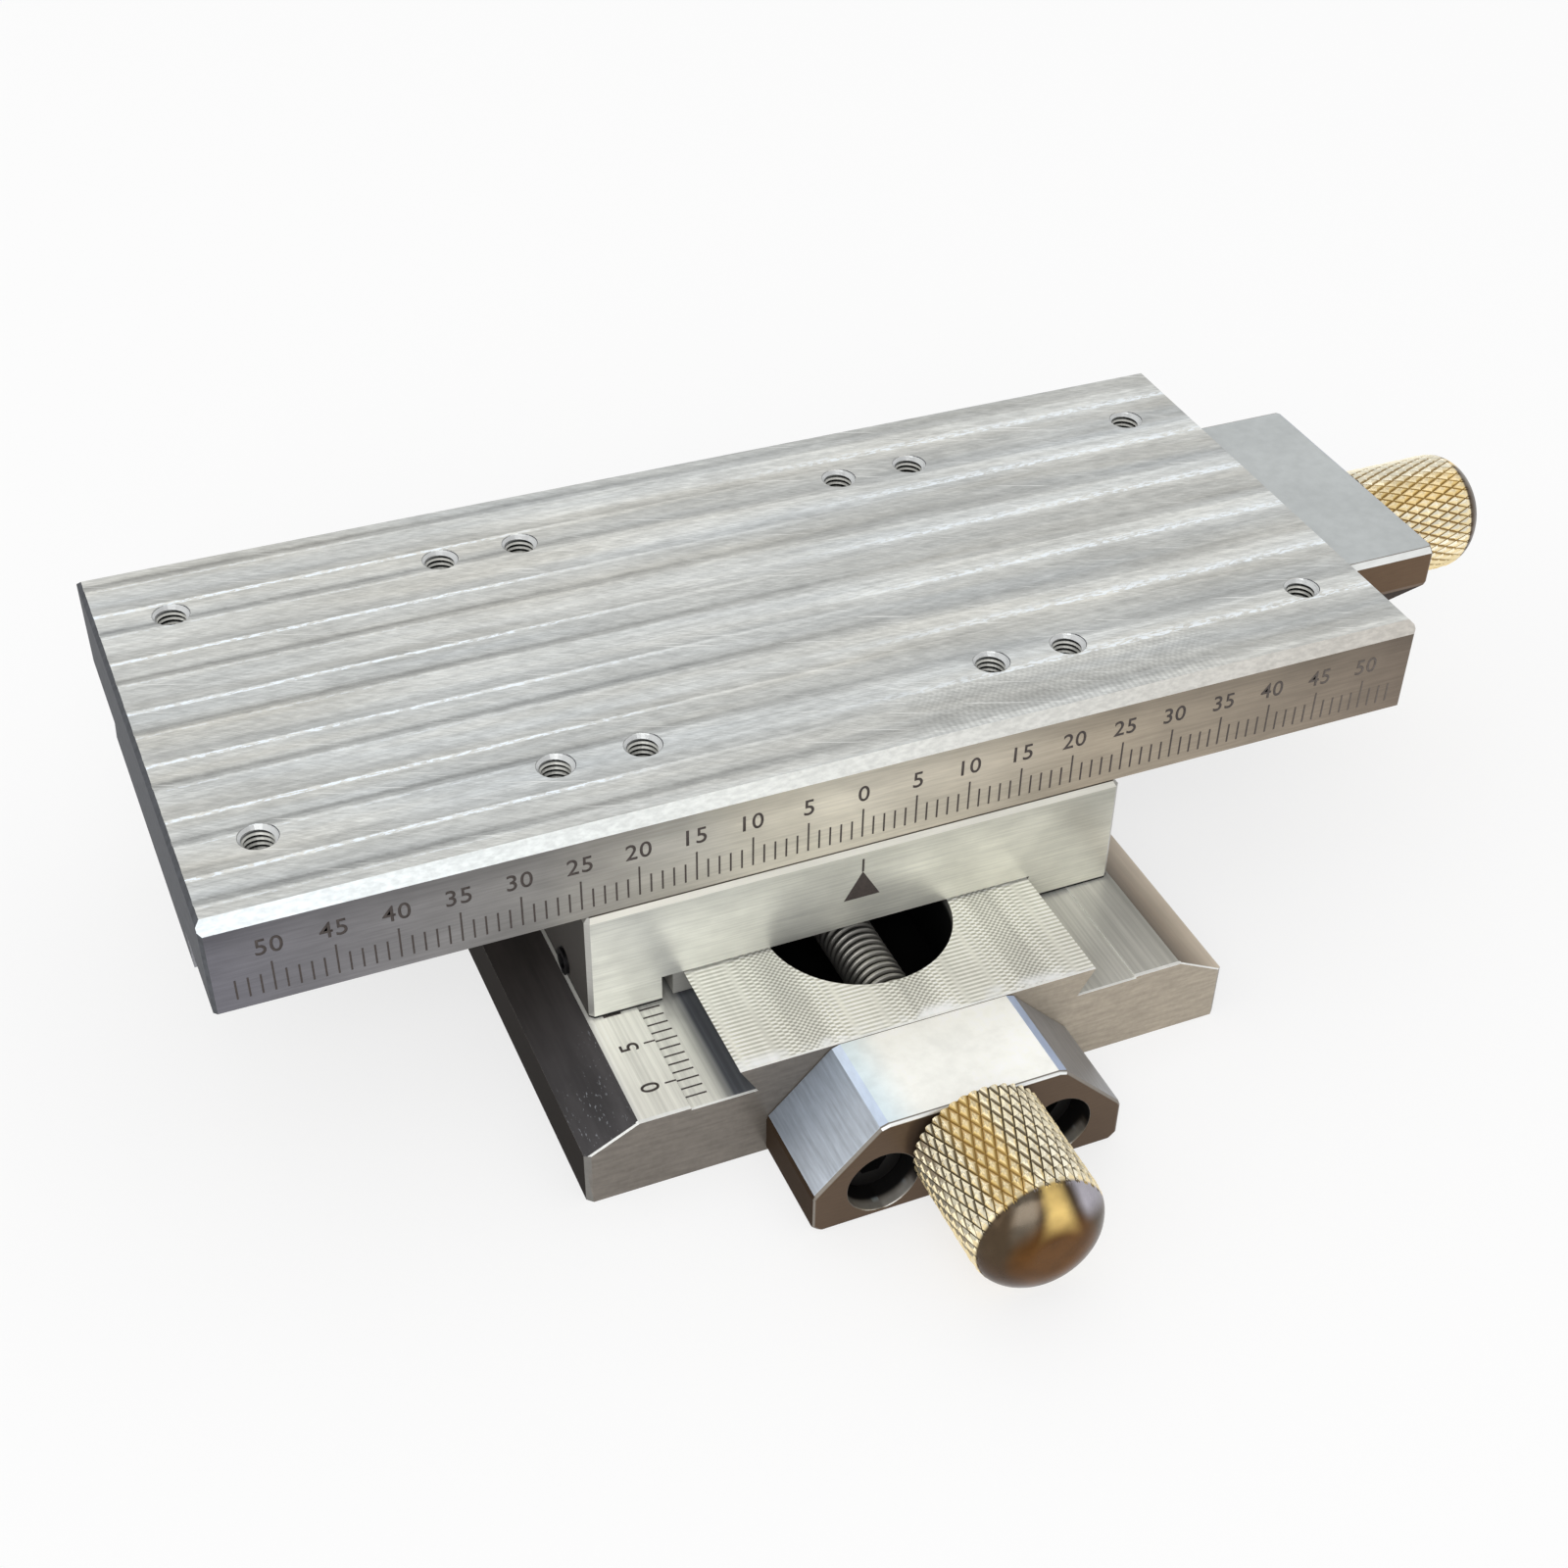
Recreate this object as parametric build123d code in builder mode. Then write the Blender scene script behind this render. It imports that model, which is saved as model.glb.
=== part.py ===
from build123d import *
from dataclasses import dataclass
from math import cos, radians, sin, tan
import os

os.makedirs("parts", exist_ok=True)

# A small cross slide table: a base, a saddle that slides on it front to back, and a table that
# slides on the saddle left to right, each driven by a feed screw with a knurled knob.
# +X is along the table's travel, +Y from the front knob to the back, +Z up. Millimetres.
# The origin is the centre of the base's underside.

# Base plate
base_width = 60.0
base_length = 80.0
base_flat = 7.5             # height of the flats beside the dovetail
strip_rise = 0.2            # raised strips that the saddle runs on
strip_width = 4.5
bevel_width = 4.7           # sloping shoulders of the base
bevel_drop = 2.45
base_corner = 0.5
channel_floor = 2.2         # metal left under the base's channel

# Dovetails, the same cutter for both slides
dovetail_width = 33.0       # across the wide tip
dovetail_height = 2.7
dovetail_angle = 60.0
channel_width = 17.0        # round-ended channel for nut and feed screw
end_wall = 5.2              # metal between a channel and the end of its plate

# Saddle
saddle_width = 50.0
saddle_depth = 52.0
saddle_web = 5.5            # metal between the lower and the upper slot
saddle_chamfer = 0.4
way_clearance = 0.05        # running clearance of every sliding face
tip_clearance = 0.2         # over the tip of each dovetail

# Gibs and their set screws
gib_thickness = 0.9         # at the dovetail's tip, where the gib is thinnest
gib_gap = 1.1               # open slot behind a gib
gib_inset = 0.3             # each end of a gib lies this far inside the saddle
gib_lift = 0.1              # the gib's edge above the saddle's face
gib_screw_diameter = 2.5
gib_screw_inset = 6.5       # first screw from the end of the saddle
gib_screw_count = 3
gib_screw_proud = 0.3
gib_screw_key = 1.3

# Table
table_length = 110.0
table_depth = 51.0
table_thickness = 9.0
table_chamfer = 1.0         # along the front and back of the top
table_end_chamfer = 0.4     # across its ends
table_corner = 0.3
table_roof = 3.5            # metal left over the table's channel
mount_hole_diameter = 2.5   # core of an M3 thread
mount_hole_depth = 7.0
mount_row_spacing = 33.0
mount_inner_spacing = 32.4
mount_middle_spacing = 47.6
mount_outer_spacing = 96.5

# Scale and travel
scale_zero_inset = 2.8      # the base scale's zero, from the base's front face
rest_reading = 10.0         # reading of the base scale as stored
y_scale_length = 25.0
x_travel = 30.0             # each way from the middle

# End blocks, one at the front of the base and one upside down at the table's right end
block_depth = 10.0
block_width = 28.4
block_height = 10.2
block_side = 4.0            # height of the upright sides
block_top_width = 16.9
block_top_edge_width = 0.75
block_top_edge_drop = 0.25
block_axis_height = 6.5     # screw axis above the block's wide face
block_lift = 0.05           # front block above the base's underside
block_drop = 1.0            # right block below the table's top
block_wide_chamfer = 0.5    # along the two long edges of the wide face
block_edge_chamfer = 0.25   # shoulders and the outline of the outer face
block_screw_spacing = 16.0
block_screw_height = 3.6    # above the block's wide face
block_counterbore_depth = 5.5
block_screw_length = 10.0
block_screw_hole_depth = 7.0

# Feed screws and knobs
thread_diameter = 4.9       # M5, over the crests
journal_diameter = 4.0
wall_bore_diameter = 5.3    # through the plate's end wall
collar_diameter = 5.8
collar_width = 2.4
running_fit = 0.05          # radial clearance of every turning fit
end_float = 0.05            # axial clearance between collar, washers and knob
recess_diameter = 6.2
washer_diameter = 6.0
washer_thickness = 0.75
bush_diameter = 5.4
thread_run_out = 4.0        # of the feed screw past the nut
knob_diameter = 11.7
knob_length = 13.5
knob_dome_length = 3.6      # from the end of the grip to the tip
knob_dome_flat = 1.6        # radius of the flat middle of the tip
knob_dome_bands = 3         # cones that the dome is turned in
knob_bore_depth = 9.5
knob_screw_diameter = 2.5
knob_screw_length = 3.0
knob_screw_inset = 3.5      # from the knob's back face
knob_screw_key = 1.3

# Nut blocks
nut_width = 15.6
nut_length = 12.0
nut_below_axis = 3.85
nut_chamfer = 0.5
nut_screw_spacing = 10.0
nut_counterbore_depth = 2.7
nut_screw_length = 8.0
nut_screw_hole_depth = 4.0

# Socket head screws: M3 in the end blocks, M2.5 in the nuts
m3_diameter = 3.0
m3_head_diameter = 5.5
m3_head_height = 3.0
m3_key = 2.5
m3_counterbore_diameter = 6.3
m25_diameter = 2.5
m25_head_diameter = 4.5
m25_head_height = 2.5
m25_key = 2.0
m25_counterbore_diameter = 4.7
clearance_hole = 0.2        # radial, round a screw's shank
thread_fit = 0.03           # radial, round a screw in its own thread
seat_fit = 0.01             # radial, round a bush in its bore
key_depth_share = 0.5       # hexagon socket, as a share of the head

# Levels, from the floor up
dovetail_tip = base_flat + dovetail_height
saddle_bottom = base_flat + strip_rise + way_clearance
lower_ceiling = dovetail_tip + tip_clearance
upper_floor = lower_ceiling + saddle_web
table_tip = upper_floor + tip_clearance
table_bottom = table_tip + dovetail_height
saddle_top = table_bottom - way_clearance
table_top = table_bottom + table_thickness
y_axis_height = block_lift + block_axis_height
x_axis_height = table_top - block_drop - block_axis_height

# Places in plan
saddle_y = -base_length / 2 + scale_zero_inset + rest_reading + saddle_depth / 2
travel_back = y_scale_length - rest_reading
dovetail_lean = 1 / tan(radians(dovetail_angle))
flank_clearance = way_clearance / sin(radians(dovetail_angle))
tip_half = dovetail_width / 2
gib_outer = tip_half + gib_thickness
slot_wall = gib_outer + gib_gap
knob_seat = block_depth + washer_thickness + end_float
recess_depth = end_float + collar_width + end_float + washer_thickness


@dataclass
class Way:
    """One slide. Its plane has x across, y from the plate towards the saddle and z out of the end
    that carries the knob; the plane's origin is on the feed screw's axis, above the saddle's middle."""

    plane: Plane
    tip: float              # dovetail's tip, from the screw axis towards the saddle
    mouth: float            # the saddle's sliding face
    ceiling: float          # bottom of the saddle's slot
    length: float           # the saddle along this way
    half_width: float       # the saddle across it
    to_end: float           # from the saddle's middle to the plate's end face
    reach: float            # from that end face to the tip of the feed screw

    @property
    def end(self):
        """The plate's end face, with its origin on the screw axis."""
        return self.plane.offset(self.to_end)

    def flank(self, height):
        """Half the width of the plate's dovetail at a height above the screw axis."""
        return tip_half - (self.tip - height) * dovetail_lean

    @property
    def gib_level(self):
        """Middle of the gib's height, where the set screws press."""
        return (self.mouth + gib_lift + self.tip) / 2

    @property
    def screw_side(self):
        """The saddle's face that the gib screws enter; x runs along the way, z points outwards."""
        face = self.plane.from_local_coords(Vector(-self.half_width, self.gib_level, 0))
        return Plane(origin=face, x_dir=self.plane.z_dir, z_dir=-self.plane.x_dir)

    @property
    def gib_screw_pitch(self):
        return (self.length - 2 * gib_screw_inset) / (gib_screw_count - 1)

    @property
    def nut_face(self):
        """The nut's free face, away from the saddle; x runs across the way, z points outwards."""
        face = self.plane.from_local_coords(Vector(0, -nut_below_axis, 0))
        return Plane(origin=face, x_dir=self.plane.x_dir, z_dir=-self.plane.y_dir)


y_way = Way(
    plane=Plane(origin=(0, saddle_y, y_axis_height), x_dir=(1, 0, 0), z_dir=(0, -1, 0)),
    tip=dovetail_tip - y_axis_height,
    mouth=saddle_bottom - y_axis_height,
    ceiling=lower_ceiling - y_axis_height,
    length=saddle_depth,
    half_width=saddle_width / 2,
    to_end=saddle_y + base_length / 2,
    reach=saddle_y + base_length / 2 + travel_back + nut_length / 2 + thread_run_out,
)
x_way = Way(
    plane=Plane(origin=(0, saddle_y, x_axis_height), x_dir=(0, -1, 0), z_dir=(1, 0, 0)),
    tip=x_axis_height - table_tip,
    mouth=x_axis_height - saddle_top,
    ceiling=x_axis_height - upper_floor,
    length=saddle_width,
    half_width=saddle_depth / 2,
    to_end=table_length / 2,
    reach=table_length / 2 + x_travel + nut_length / 2 + thread_run_out,
)
block_screw_level = block_screw_height - block_axis_height


# Base plate
with BuildPart() as base_plate:
    half_width = base_width / 2
    strip_outer = half_width - bevel_width
    strip_inner = strip_outer - strip_width
    strip_top = base_flat + strip_rise
    with BuildSketch(Plane.XZ):
        with BuildLine():
            Polyline(
                (0, 0),
                (half_width, 0),
                (half_width, strip_top - bevel_drop),
                (strip_outer, strip_top),
                (strip_inner, strip_top),
                (strip_inner, base_flat),
                (tip_half - dovetail_height * dovetail_lean, base_flat),
                (tip_half, dovetail_tip),
                (0, dovetail_tip),
            )
            mirror(about=Plane.YZ)
        make_face()
    extrude(amount=base_length / 2, both=True)
    upright_edges = base_plate.edges().filter_by(Axis.Z)
    chamfer(upright_edges.filter_by(lambda edge: abs(edge.center().X) > strip_outer), base_corner)
    with BuildSketch(Plane.XY.offset(dovetail_tip)):
        SlotOverall(base_length - 2 * end_wall, channel_width, rotation=90)
    extrude(amount=channel_floor - dovetail_tip, mode=Mode.SUBTRACT)
    with BuildSketch(y_way.end):
        Circle(wall_bore_diameter / 2)
    extrude(amount=-(end_wall + channel_width / 2), mode=Mode.SUBTRACT)
    with BuildSketch(y_way.end):
        with Locations((0, block_screw_level)):
            with GridLocations(block_screw_spacing, 0, 2, 1):
                Circle(m3_diameter / 2 + thread_fit)
    extrude(amount=-block_screw_hole_depth, mode=Mode.SUBTRACT)


# Table plate
with BuildPart() as table_plate:
    with BuildSketch(Plane(origin=(0, saddle_y, 0), x_dir=(0, 1, 0), z_dir=(1, 0, 0))):
        with BuildLine():
            Polyline(
                (0, table_top),
                (table_depth / 2, table_top),
                (table_depth / 2, table_bottom),
                (tip_half - dovetail_height * dovetail_lean, table_bottom),
                (tip_half, table_tip),
                (0, table_tip),
            )
            mirror(about=Plane.YZ)
        make_face()
    extrude(amount=table_length / 2, both=True)
    chamfer(table_plate.edges().filter_by(Axis.Z), table_corner)
    for direction, size in ((Axis.X, table_chamfer), (Axis.Y, table_end_chamfer)):
        top_face = table_plate.faces().sort_by(Axis.Z)[-1]
        chamfer(top_face.edges().filter_by(direction), size)
    with BuildSketch(Plane.XY.offset(table_tip)):
        with Locations((0, saddle_y)):
            SlotOverall(table_length - 2 * end_wall, channel_width)
    extrude(amount=table_top - table_roof - table_tip, mode=Mode.SUBTRACT)
    with BuildSketch(x_way.end):
        Circle(wall_bore_diameter / 2)
    extrude(amount=-(end_wall + channel_width / 2), mode=Mode.SUBTRACT)
    with BuildSketch(x_way.end):
        with Locations((0, block_screw_level)):
            with GridLocations(block_screw_spacing, 0, 2, 1):
                Circle(m3_diameter / 2 + thread_fit)
    extrude(amount=-block_screw_hole_depth, mode=Mode.SUBTRACT)
    for spacing in (mount_inner_spacing, mount_middle_spacing, mount_outer_spacing):
        with Locations((0, saddle_y, table_top)):
            with GridLocations(spacing, mount_row_spacing, 2, 2):
                Hole(mount_hole_diameter / 2, mount_hole_depth)


# Saddle, with a slot for each dovetail, a gib's width wider on one side
with BuildPart() as saddle:
    with BuildSketch(Plane.XY.offset(saddle_bottom)):
        with Locations((0, saddle_y)):
            Rectangle(saddle_width, saddle_depth)
    extrude(amount=saddle_top - saddle_bottom)
    chamfer(saddle.edges().filter_by(Axis.Z), saddle_chamfer)
    chamfer(saddle.faces().sort_by(Axis.Z)[-1].edges(), saddle_chamfer)
    for way in (y_way, x_way):
        with BuildSketch(way.plane):
            with BuildLine():
                Polyline(
                    (-slot_wall, way.mouth),
                    (-slot_wall, way.ceiling),
                    (way.flank(way.ceiling) + flank_clearance, way.ceiling),
                    (way.flank(way.mouth) + flank_clearance, way.mouth),
                    close=True,
                )
            make_face()
        extrude(amount=way.length / 2, both=True, mode=Mode.SUBTRACT)
        with BuildSketch(way.screw_side):
            with GridLocations(way.gib_screw_pitch, 0, gib_screw_count, 1):
                Circle(gib_screw_diameter / 2 + thread_fit)
        extrude(amount=slot_wall - way.half_width, mode=Mode.SUBTRACT)
        with BuildSketch(way.nut_face.offset(-nut_below_axis - way.ceiling)):
            with GridLocations(nut_screw_spacing, 0, 2, 1):
                Circle(m25_diameter / 2 + thread_fit)
        extrude(amount=-nut_screw_hole_depth, mode=Mode.SUBTRACT)


def gib(way):
    """The adjusting strip: upright where the set screws press, sloping along the dovetail."""
    low = way.mouth + gib_lift
    with BuildPart() as strip:
        with BuildSketch(way.plane):
            with BuildLine():
                Polyline(
                    (-gib_outer, low),
                    (-gib_outer, way.tip),
                    (-tip_half - flank_clearance, way.tip),
                    (-way.flank(low) - flank_clearance, low),
                    close=True,
                )
            make_face()
        extrude(amount=way.length / 2 - gib_inset, both=True)
    return strip


def gib_screws(way):
    """Set screws through the saddle's side, their tips on the gib."""
    length = way.half_width + gib_screw_proud - gib_outer
    with BuildPart() as screws:
        head = way.screw_side.offset(gib_screw_proud)
        with BuildSketch(head):
            with GridLocations(way.gib_screw_pitch, 0, gib_screw_count, 1):
                Circle(gib_screw_diameter / 2)
        extrude(amount=-length)
        with BuildSketch(head):
            with GridLocations(way.gib_screw_pitch, 0, gib_screw_count, 1):
                RegularPolygon(gib_screw_key / 2, 6, major_radius=False)
        extrude(amount=-gib_screw_diameter * key_depth_share, mode=Mode.SUBTRACT)
    return screws


def nut_block(way):
    """Brass nut seated against the saddle's slot and reaching round the feed screw."""
    with BuildPart() as nut:
        with BuildSketch(way.nut_face):
            Rectangle(nut_width, nut_length)
        extrude(amount=-(nut_below_axis + way.ceiling))
        chamfer(nut.edges().filter_by(Axis.Z), nut_chamfer)
        with BuildSketch(way.plane):
            Circle(thread_diameter / 2 + running_fit)
        extrude(amount=nut_length / 2, both=True, mode=Mode.SUBTRACT)
        with BuildSketch(way.nut_face):
            with GridLocations(nut_screw_spacing, 0, 2, 1):
                Circle(m25_counterbore_diameter / 2)
        extrude(amount=-nut_counterbore_depth, mode=Mode.SUBTRACT)
        with BuildSketch(way.nut_face):
            with GridLocations(nut_screw_spacing, 0, 2, 1):
                Circle(m25_diameter / 2 + clearance_hole)
        extrude(amount=-(nut_below_axis + way.ceiling), mode=Mode.SUBTRACT)
    return nut


def end_block(way):
    """Bearing block: wide foot, sloping shoulders and a narrow flat, bored for bush and collar."""
    foot = -block_axis_height
    with BuildPart() as block:
        with BuildSketch(way.end):
            with BuildLine():
                Polyline(
                    (0, foot),
                    (block_width / 2, foot),
                    (block_width / 2, foot + block_side),
                    (block_top_width / 2, foot + block_height - block_top_edge_drop),
                    (block_top_width / 2 - block_top_edge_width, foot + block_height),
                    (0, foot + block_height),
                )
                mirror(about=Plane.YZ)
            make_face()
        extrude(amount=block_depth)
        across = Axis(way.end.origin, way.end.y_dir)
        outward = Axis(way.end.origin, way.end.z_dir)
        shoulders = block.edges().filter_by(outward).sort_by(across)[2:4]
        chamfer(shoulders, block_edge_chamfer)
        wide_edges = block.edges().filter_by(outward).sort_by(across)[:2]
        chamfer(wide_edges, block_wide_chamfer)
        outer_face = block.faces().sort_by(outward)[-1]
        chamfer(outer_face.edges().sort_by(across)[1:], block_edge_chamfer)
        with BuildSketch(way.end):
            Circle(bush_diameter / 2 + seat_fit)
        extrude(amount=block_depth, mode=Mode.SUBTRACT)
        with BuildSketch(way.end):
            Circle(recess_diameter / 2)
        extrude(amount=recess_depth, mode=Mode.SUBTRACT)
        with BuildSketch(way.end):
            with Locations((0, block_screw_level)):
                with GridLocations(block_screw_spacing, 0, 2, 1):
                    Circle(m3_diameter / 2 + clearance_hole)
        extrude(amount=block_depth, mode=Mode.SUBTRACT)
        with BuildSketch(way.end.offset(block_depth)):
            with Locations((0, block_screw_level)):
                with GridLocations(block_screw_spacing, 0, 2, 1):
                    Circle(m3_counterbore_diameter / 2)
        extrude(amount=-block_counterbore_depth, mode=Mode.SUBTRACT)
    return block


def bush(way):
    """Plain bearing pressed into the end block, from the collar's recess to the outer face."""
    with BuildPart() as bearing:
        with BuildSketch(way.end.offset(recess_depth)):
            Circle(bush_diameter / 2)
            Circle(journal_diameter / 2 + running_fit, mode=Mode.SUBTRACT)
        extrude(amount=block_depth - recess_depth)
    return bearing


def thrust_washers(way):
    """One washer between collar and block, one between block and knob."""
    with BuildPart() as washers:
        for seat in (recess_depth - washer_thickness, block_depth):
            with BuildSketch(way.end.offset(seat)):
                Circle(washer_diameter / 2)
                Circle(journal_diameter / 2 + running_fit, mode=Mode.SUBTRACT)
            extrude(amount=washer_thickness)
    return washers


def feed_screw(way):
    """Threaded length, thrust collar and journal, turned in one piece."""
    with BuildPart() as screw:
        with BuildSketch(way.end.offset(-way.reach)):
            Circle(thread_diameter / 2)
        extrude(amount=way.reach + end_float)
        with BuildSketch(way.end.offset(end_float)):
            Circle(collar_diameter / 2)
        extrude(amount=collar_width)
        journal_start = end_float + collar_width
        with BuildSketch(way.end.offset(journal_start)):
            Circle(journal_diameter / 2)
        extrude(amount=knob_seat + knob_bore_depth - end_float - journal_start)
    return screw


def knob(way):
    """Turned brass knob with a domed end and a blind bore for the journal."""
    back = way.end.offset(knob_seat)
    half_section = Plane(origin=back.origin, x_dir=back.x_dir, z_dir=back.x_dir.cross(back.z_dir))
    grip_length = knob_length - knob_dome_length
    dome = []
    for band in range(knob_dome_bands + 1):
        turn = radians(90 * band / knob_dome_bands)
        out = knob_dome_flat + (knob_diameter / 2 - knob_dome_flat) * cos(turn)
        dome.append((out, grip_length + knob_dome_length * sin(turn)))
    with BuildPart() as grip:
        with BuildSketch(half_section):
            with BuildLine():
                Polyline((0, knob_length), (0, 0), (knob_diameter / 2, 0), *dome, close=True)
            make_face()
        revolve(axis=Axis(back.origin, back.z_dir))
        with BuildSketch(back):
            Circle(journal_diameter / 2 + thread_fit)
        extrude(amount=knob_bore_depth, mode=Mode.SUBTRACT)
        with BuildSketch(knob_screw_plane(way)):
            Circle(knob_screw_diameter / 2 + thread_fit)
        extrude(amount=knob_diameter / 2, mode=Mode.SUBTRACT)
    return grip


def knob_screw_plane(way):
    """On the screw axis under the knob's set screw, looking down."""
    middle = way.end.offset(knob_seat + knob_screw_inset).origin
    return Plane(origin=middle, x_dir=way.end.z_dir, z_dir=(0, 0, -1))


def knob_set_screw(way):
    """Set screw in the knob's underside, its tip on the journal."""
    tip = knob_screw_plane(way).offset(journal_diameter / 2)
    with BuildPart() as screw:
        with BuildSketch(tip):
            Circle(knob_screw_diameter / 2)
        extrude(amount=knob_screw_length)
        with BuildSketch(tip.offset(knob_screw_length)):
            RegularPolygon(knob_screw_key / 2, 6, major_radius=False)
        extrude(amount=-knob_screw_length * key_depth_share, mode=Mode.SUBTRACT)
    return screw


def cap_screws(seat, spacing, diameter, head_diameter, head_height, key, length):
    """A pair of socket head screws, their heads on the plane of their seat."""
    with BuildPart() as screws:
        with BuildSketch(seat):
            with GridLocations(spacing, 0, 2, 1):
                Circle(head_diameter / 2)
        extrude(amount=head_height)
        with BuildSketch(seat):
            with GridLocations(spacing, 0, 2, 1):
                Circle(diameter / 2)
        extrude(amount=-length)
        with BuildSketch(seat.offset(head_height)):
            with GridLocations(spacing, 0, 2, 1):
                RegularPolygon(key / 2, 6, major_radius=False)
        extrude(amount=-head_height * key_depth_share, mode=Mode.SUBTRACT)
    return screws


def block_screws(way):
    """M3 screws that hold the end block, deep in their counterbores."""
    end = way.end.offset(block_depth - block_counterbore_depth)
    level = end.from_local_coords(Vector(0, block_screw_level, 0))
    seat = Plane(origin=level, x_dir=end.x_dir, z_dir=end.z_dir)
    return cap_screws(
        seat, block_screw_spacing, m3_diameter, m3_head_diameter, m3_head_height, m3_key, block_screw_length
    )


def nut_screws(way):
    """M2.5 screws that hold the nut against the saddle."""
    seat = way.nut_face.offset(-nut_counterbore_depth)
    return cap_screws(
        seat, nut_screw_spacing, m25_diameter, m25_head_diameter, m25_head_height, m25_key, nut_screw_length
    )


pieces = {"base_plate": base_plate, "saddle": saddle, "table_plate": table_plate}
for axis_name, way in (("y", y_way), ("x", x_way)):
    pieces[f"{axis_name}_end_block"] = end_block(way)
    pieces[f"{axis_name}_block_screws"] = block_screws(way)
    pieces[f"{axis_name}_bush"] = bush(way)
    pieces[f"{axis_name}_thrust_washers"] = thrust_washers(way)
    pieces[f"{axis_name}_feed_screw"] = feed_screw(way)
    pieces[f"{axis_name}_knob"] = knob(way)
    pieces[f"{axis_name}_knob_set_screw"] = knob_set_screw(way)
    pieces[f"{axis_name}_nut"] = nut_block(way)
    pieces[f"{axis_name}_nut_screws"] = nut_screws(way)
    pieces[f"{axis_name}_gib"] = gib(way)
    pieces[f"{axis_name}_gib_screws"] = gib_screws(way)

for name, piece in pieces.items():
    piece.part.label = name
    export_step(piece.part, f"parts/{name}.step")
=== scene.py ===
import math

import bmesh
import bpy
from mathutils import Matrix, Vector


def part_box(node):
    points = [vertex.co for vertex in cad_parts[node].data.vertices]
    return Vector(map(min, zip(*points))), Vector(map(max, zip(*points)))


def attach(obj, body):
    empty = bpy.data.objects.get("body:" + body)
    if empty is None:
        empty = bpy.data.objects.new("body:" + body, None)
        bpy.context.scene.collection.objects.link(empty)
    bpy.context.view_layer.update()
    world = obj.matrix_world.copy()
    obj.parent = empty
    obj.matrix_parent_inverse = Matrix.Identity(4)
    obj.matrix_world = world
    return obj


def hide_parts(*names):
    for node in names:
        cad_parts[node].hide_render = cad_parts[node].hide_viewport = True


# Looks of the cross slide table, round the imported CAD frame.
# Mesh code works in millimetres of the row frame; MM turns them into Blender's metres.

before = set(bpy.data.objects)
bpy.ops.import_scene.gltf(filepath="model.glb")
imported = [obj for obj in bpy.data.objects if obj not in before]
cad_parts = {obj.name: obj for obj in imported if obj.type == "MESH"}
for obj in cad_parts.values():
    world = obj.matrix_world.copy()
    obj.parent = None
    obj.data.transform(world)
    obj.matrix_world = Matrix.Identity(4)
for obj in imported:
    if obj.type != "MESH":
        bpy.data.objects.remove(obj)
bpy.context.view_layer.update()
MM = 0.001
WELD, FINE_WELD = 2e-7, 1e-7  # metres; corners this near to each other are one
X, Y, Z = Vector((1, 0, 0)), Vector((0, 1, 0)), Vector((0, 0, 1))  # right, back and up
SQUARE = ((-1, -1), (1, -1), (1, 1), (-1, 1))


def box_mm(node):
    """The low and the high corner of a CAD node's box, in millimetres."""
    low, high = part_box(node)
    return Vector(low) / MM, Vector(high) / MM


def srgb(red, green, blue):
    """A screen colour, 0 to 255, as the linear colour that the nodes use."""
    linear = []
    for value in (red, green, blue):
        share = value / 255
        linear.append(share / 12.92 if share <= 0.04045 else ((share + 0.055) / 1.055) ** 2.4)
    return (*linear, 1.0)


# Camera, from the photograph's vanishing lines and the part's own corners

camera_place = Vector((-65.588, -160.217, 142.907)) * MM
camera_right = Vector((0.91292205, -0.40689649, 0.03175809))
camera_up = Vector((0.24686457, 0.61248206, 0.75094848))
camera_back = Vector((-0.32500956, -0.67771748, 0.6595967))
camera_data = bpy.data.cameras.new("camera")
camera_data.sensor_width = 36.0
camera_data.lens = 52.21
camera_data.shift_x = -0.0375
camera_data.shift_y = 0.075
camera_data.clip_start = 0.01
camera_data.clip_end = 20.0
camera = bpy.data.objects.new("camera", camera_data)
axes = Matrix((camera_right, camera_up, camera_back)).transposed()
camera.matrix_world = Matrix.Translation(camera_place) @ axes.to_4x4()
bpy.context.scene.collection.objects.link(camera)
bpy.context.scene.camera = camera
bpy.context.scene.view_settings.view_transform = "Standard"


# Meshes

def mesh_from(name, verts, faces, smooth=()):
    """A mesh from millimetre points; smooth holds the numbers of the faces that shade as round."""
    mesh = bpy.data.meshes.new(name)
    mesh.from_pydata([Vector(v) * MM for v in verts], [], faces)
    for number in smooth:
        mesh.polygons[number].use_smooth = True
    mesh.update()
    return mesh


def join_skins(parts):
    """The points and faces of several (points, faces) as one."""
    verts, faces = [], []
    for points, skin in parts:
        faces += [tuple(v + len(verts) for v in face) for face in skin]
        verts += points
    return verts, faces


def add_object(name, mesh):
    piece = bpy.data.objects.new(name, mesh)
    bpy.context.scene.collection.objects.link(piece)
    return piece


def dress(piece, body, slot, material, *nodes):
    """Puts a new piece on its body, in the place of CAD nodes where some are named."""
    piece.data.materials.clear()
    piece.data.materials.append(material)
    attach(piece, body)
    if nodes:
        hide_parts(*nodes)


def open_mesh(mesh, distance):
    """The mesh for editing, with the corners that coincide joined and no face without area."""
    bm = bmesh.new()
    bm.from_mesh(mesh)
    bmesh.ops.remove_doubles(bm, verts=bm.verts, dist=distance)
    bmesh.ops.dissolve_degenerate(bm, edges=bm.edges, dist=distance)
    return bm


def store_mesh(bm, mesh, fill=False):
    """Writes an edited mesh back, its normals outwards; fill closes each open end with one face."""
    if fill:
        bmesh.ops.holes_fill(bm, edges=bm.edges, sides=0)
    bmesh.ops.recalc_face_normals(bm, faces=bm.faces)
    bm.to_mesh(mesh)
    bm.free()
    mesh.update()


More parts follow.
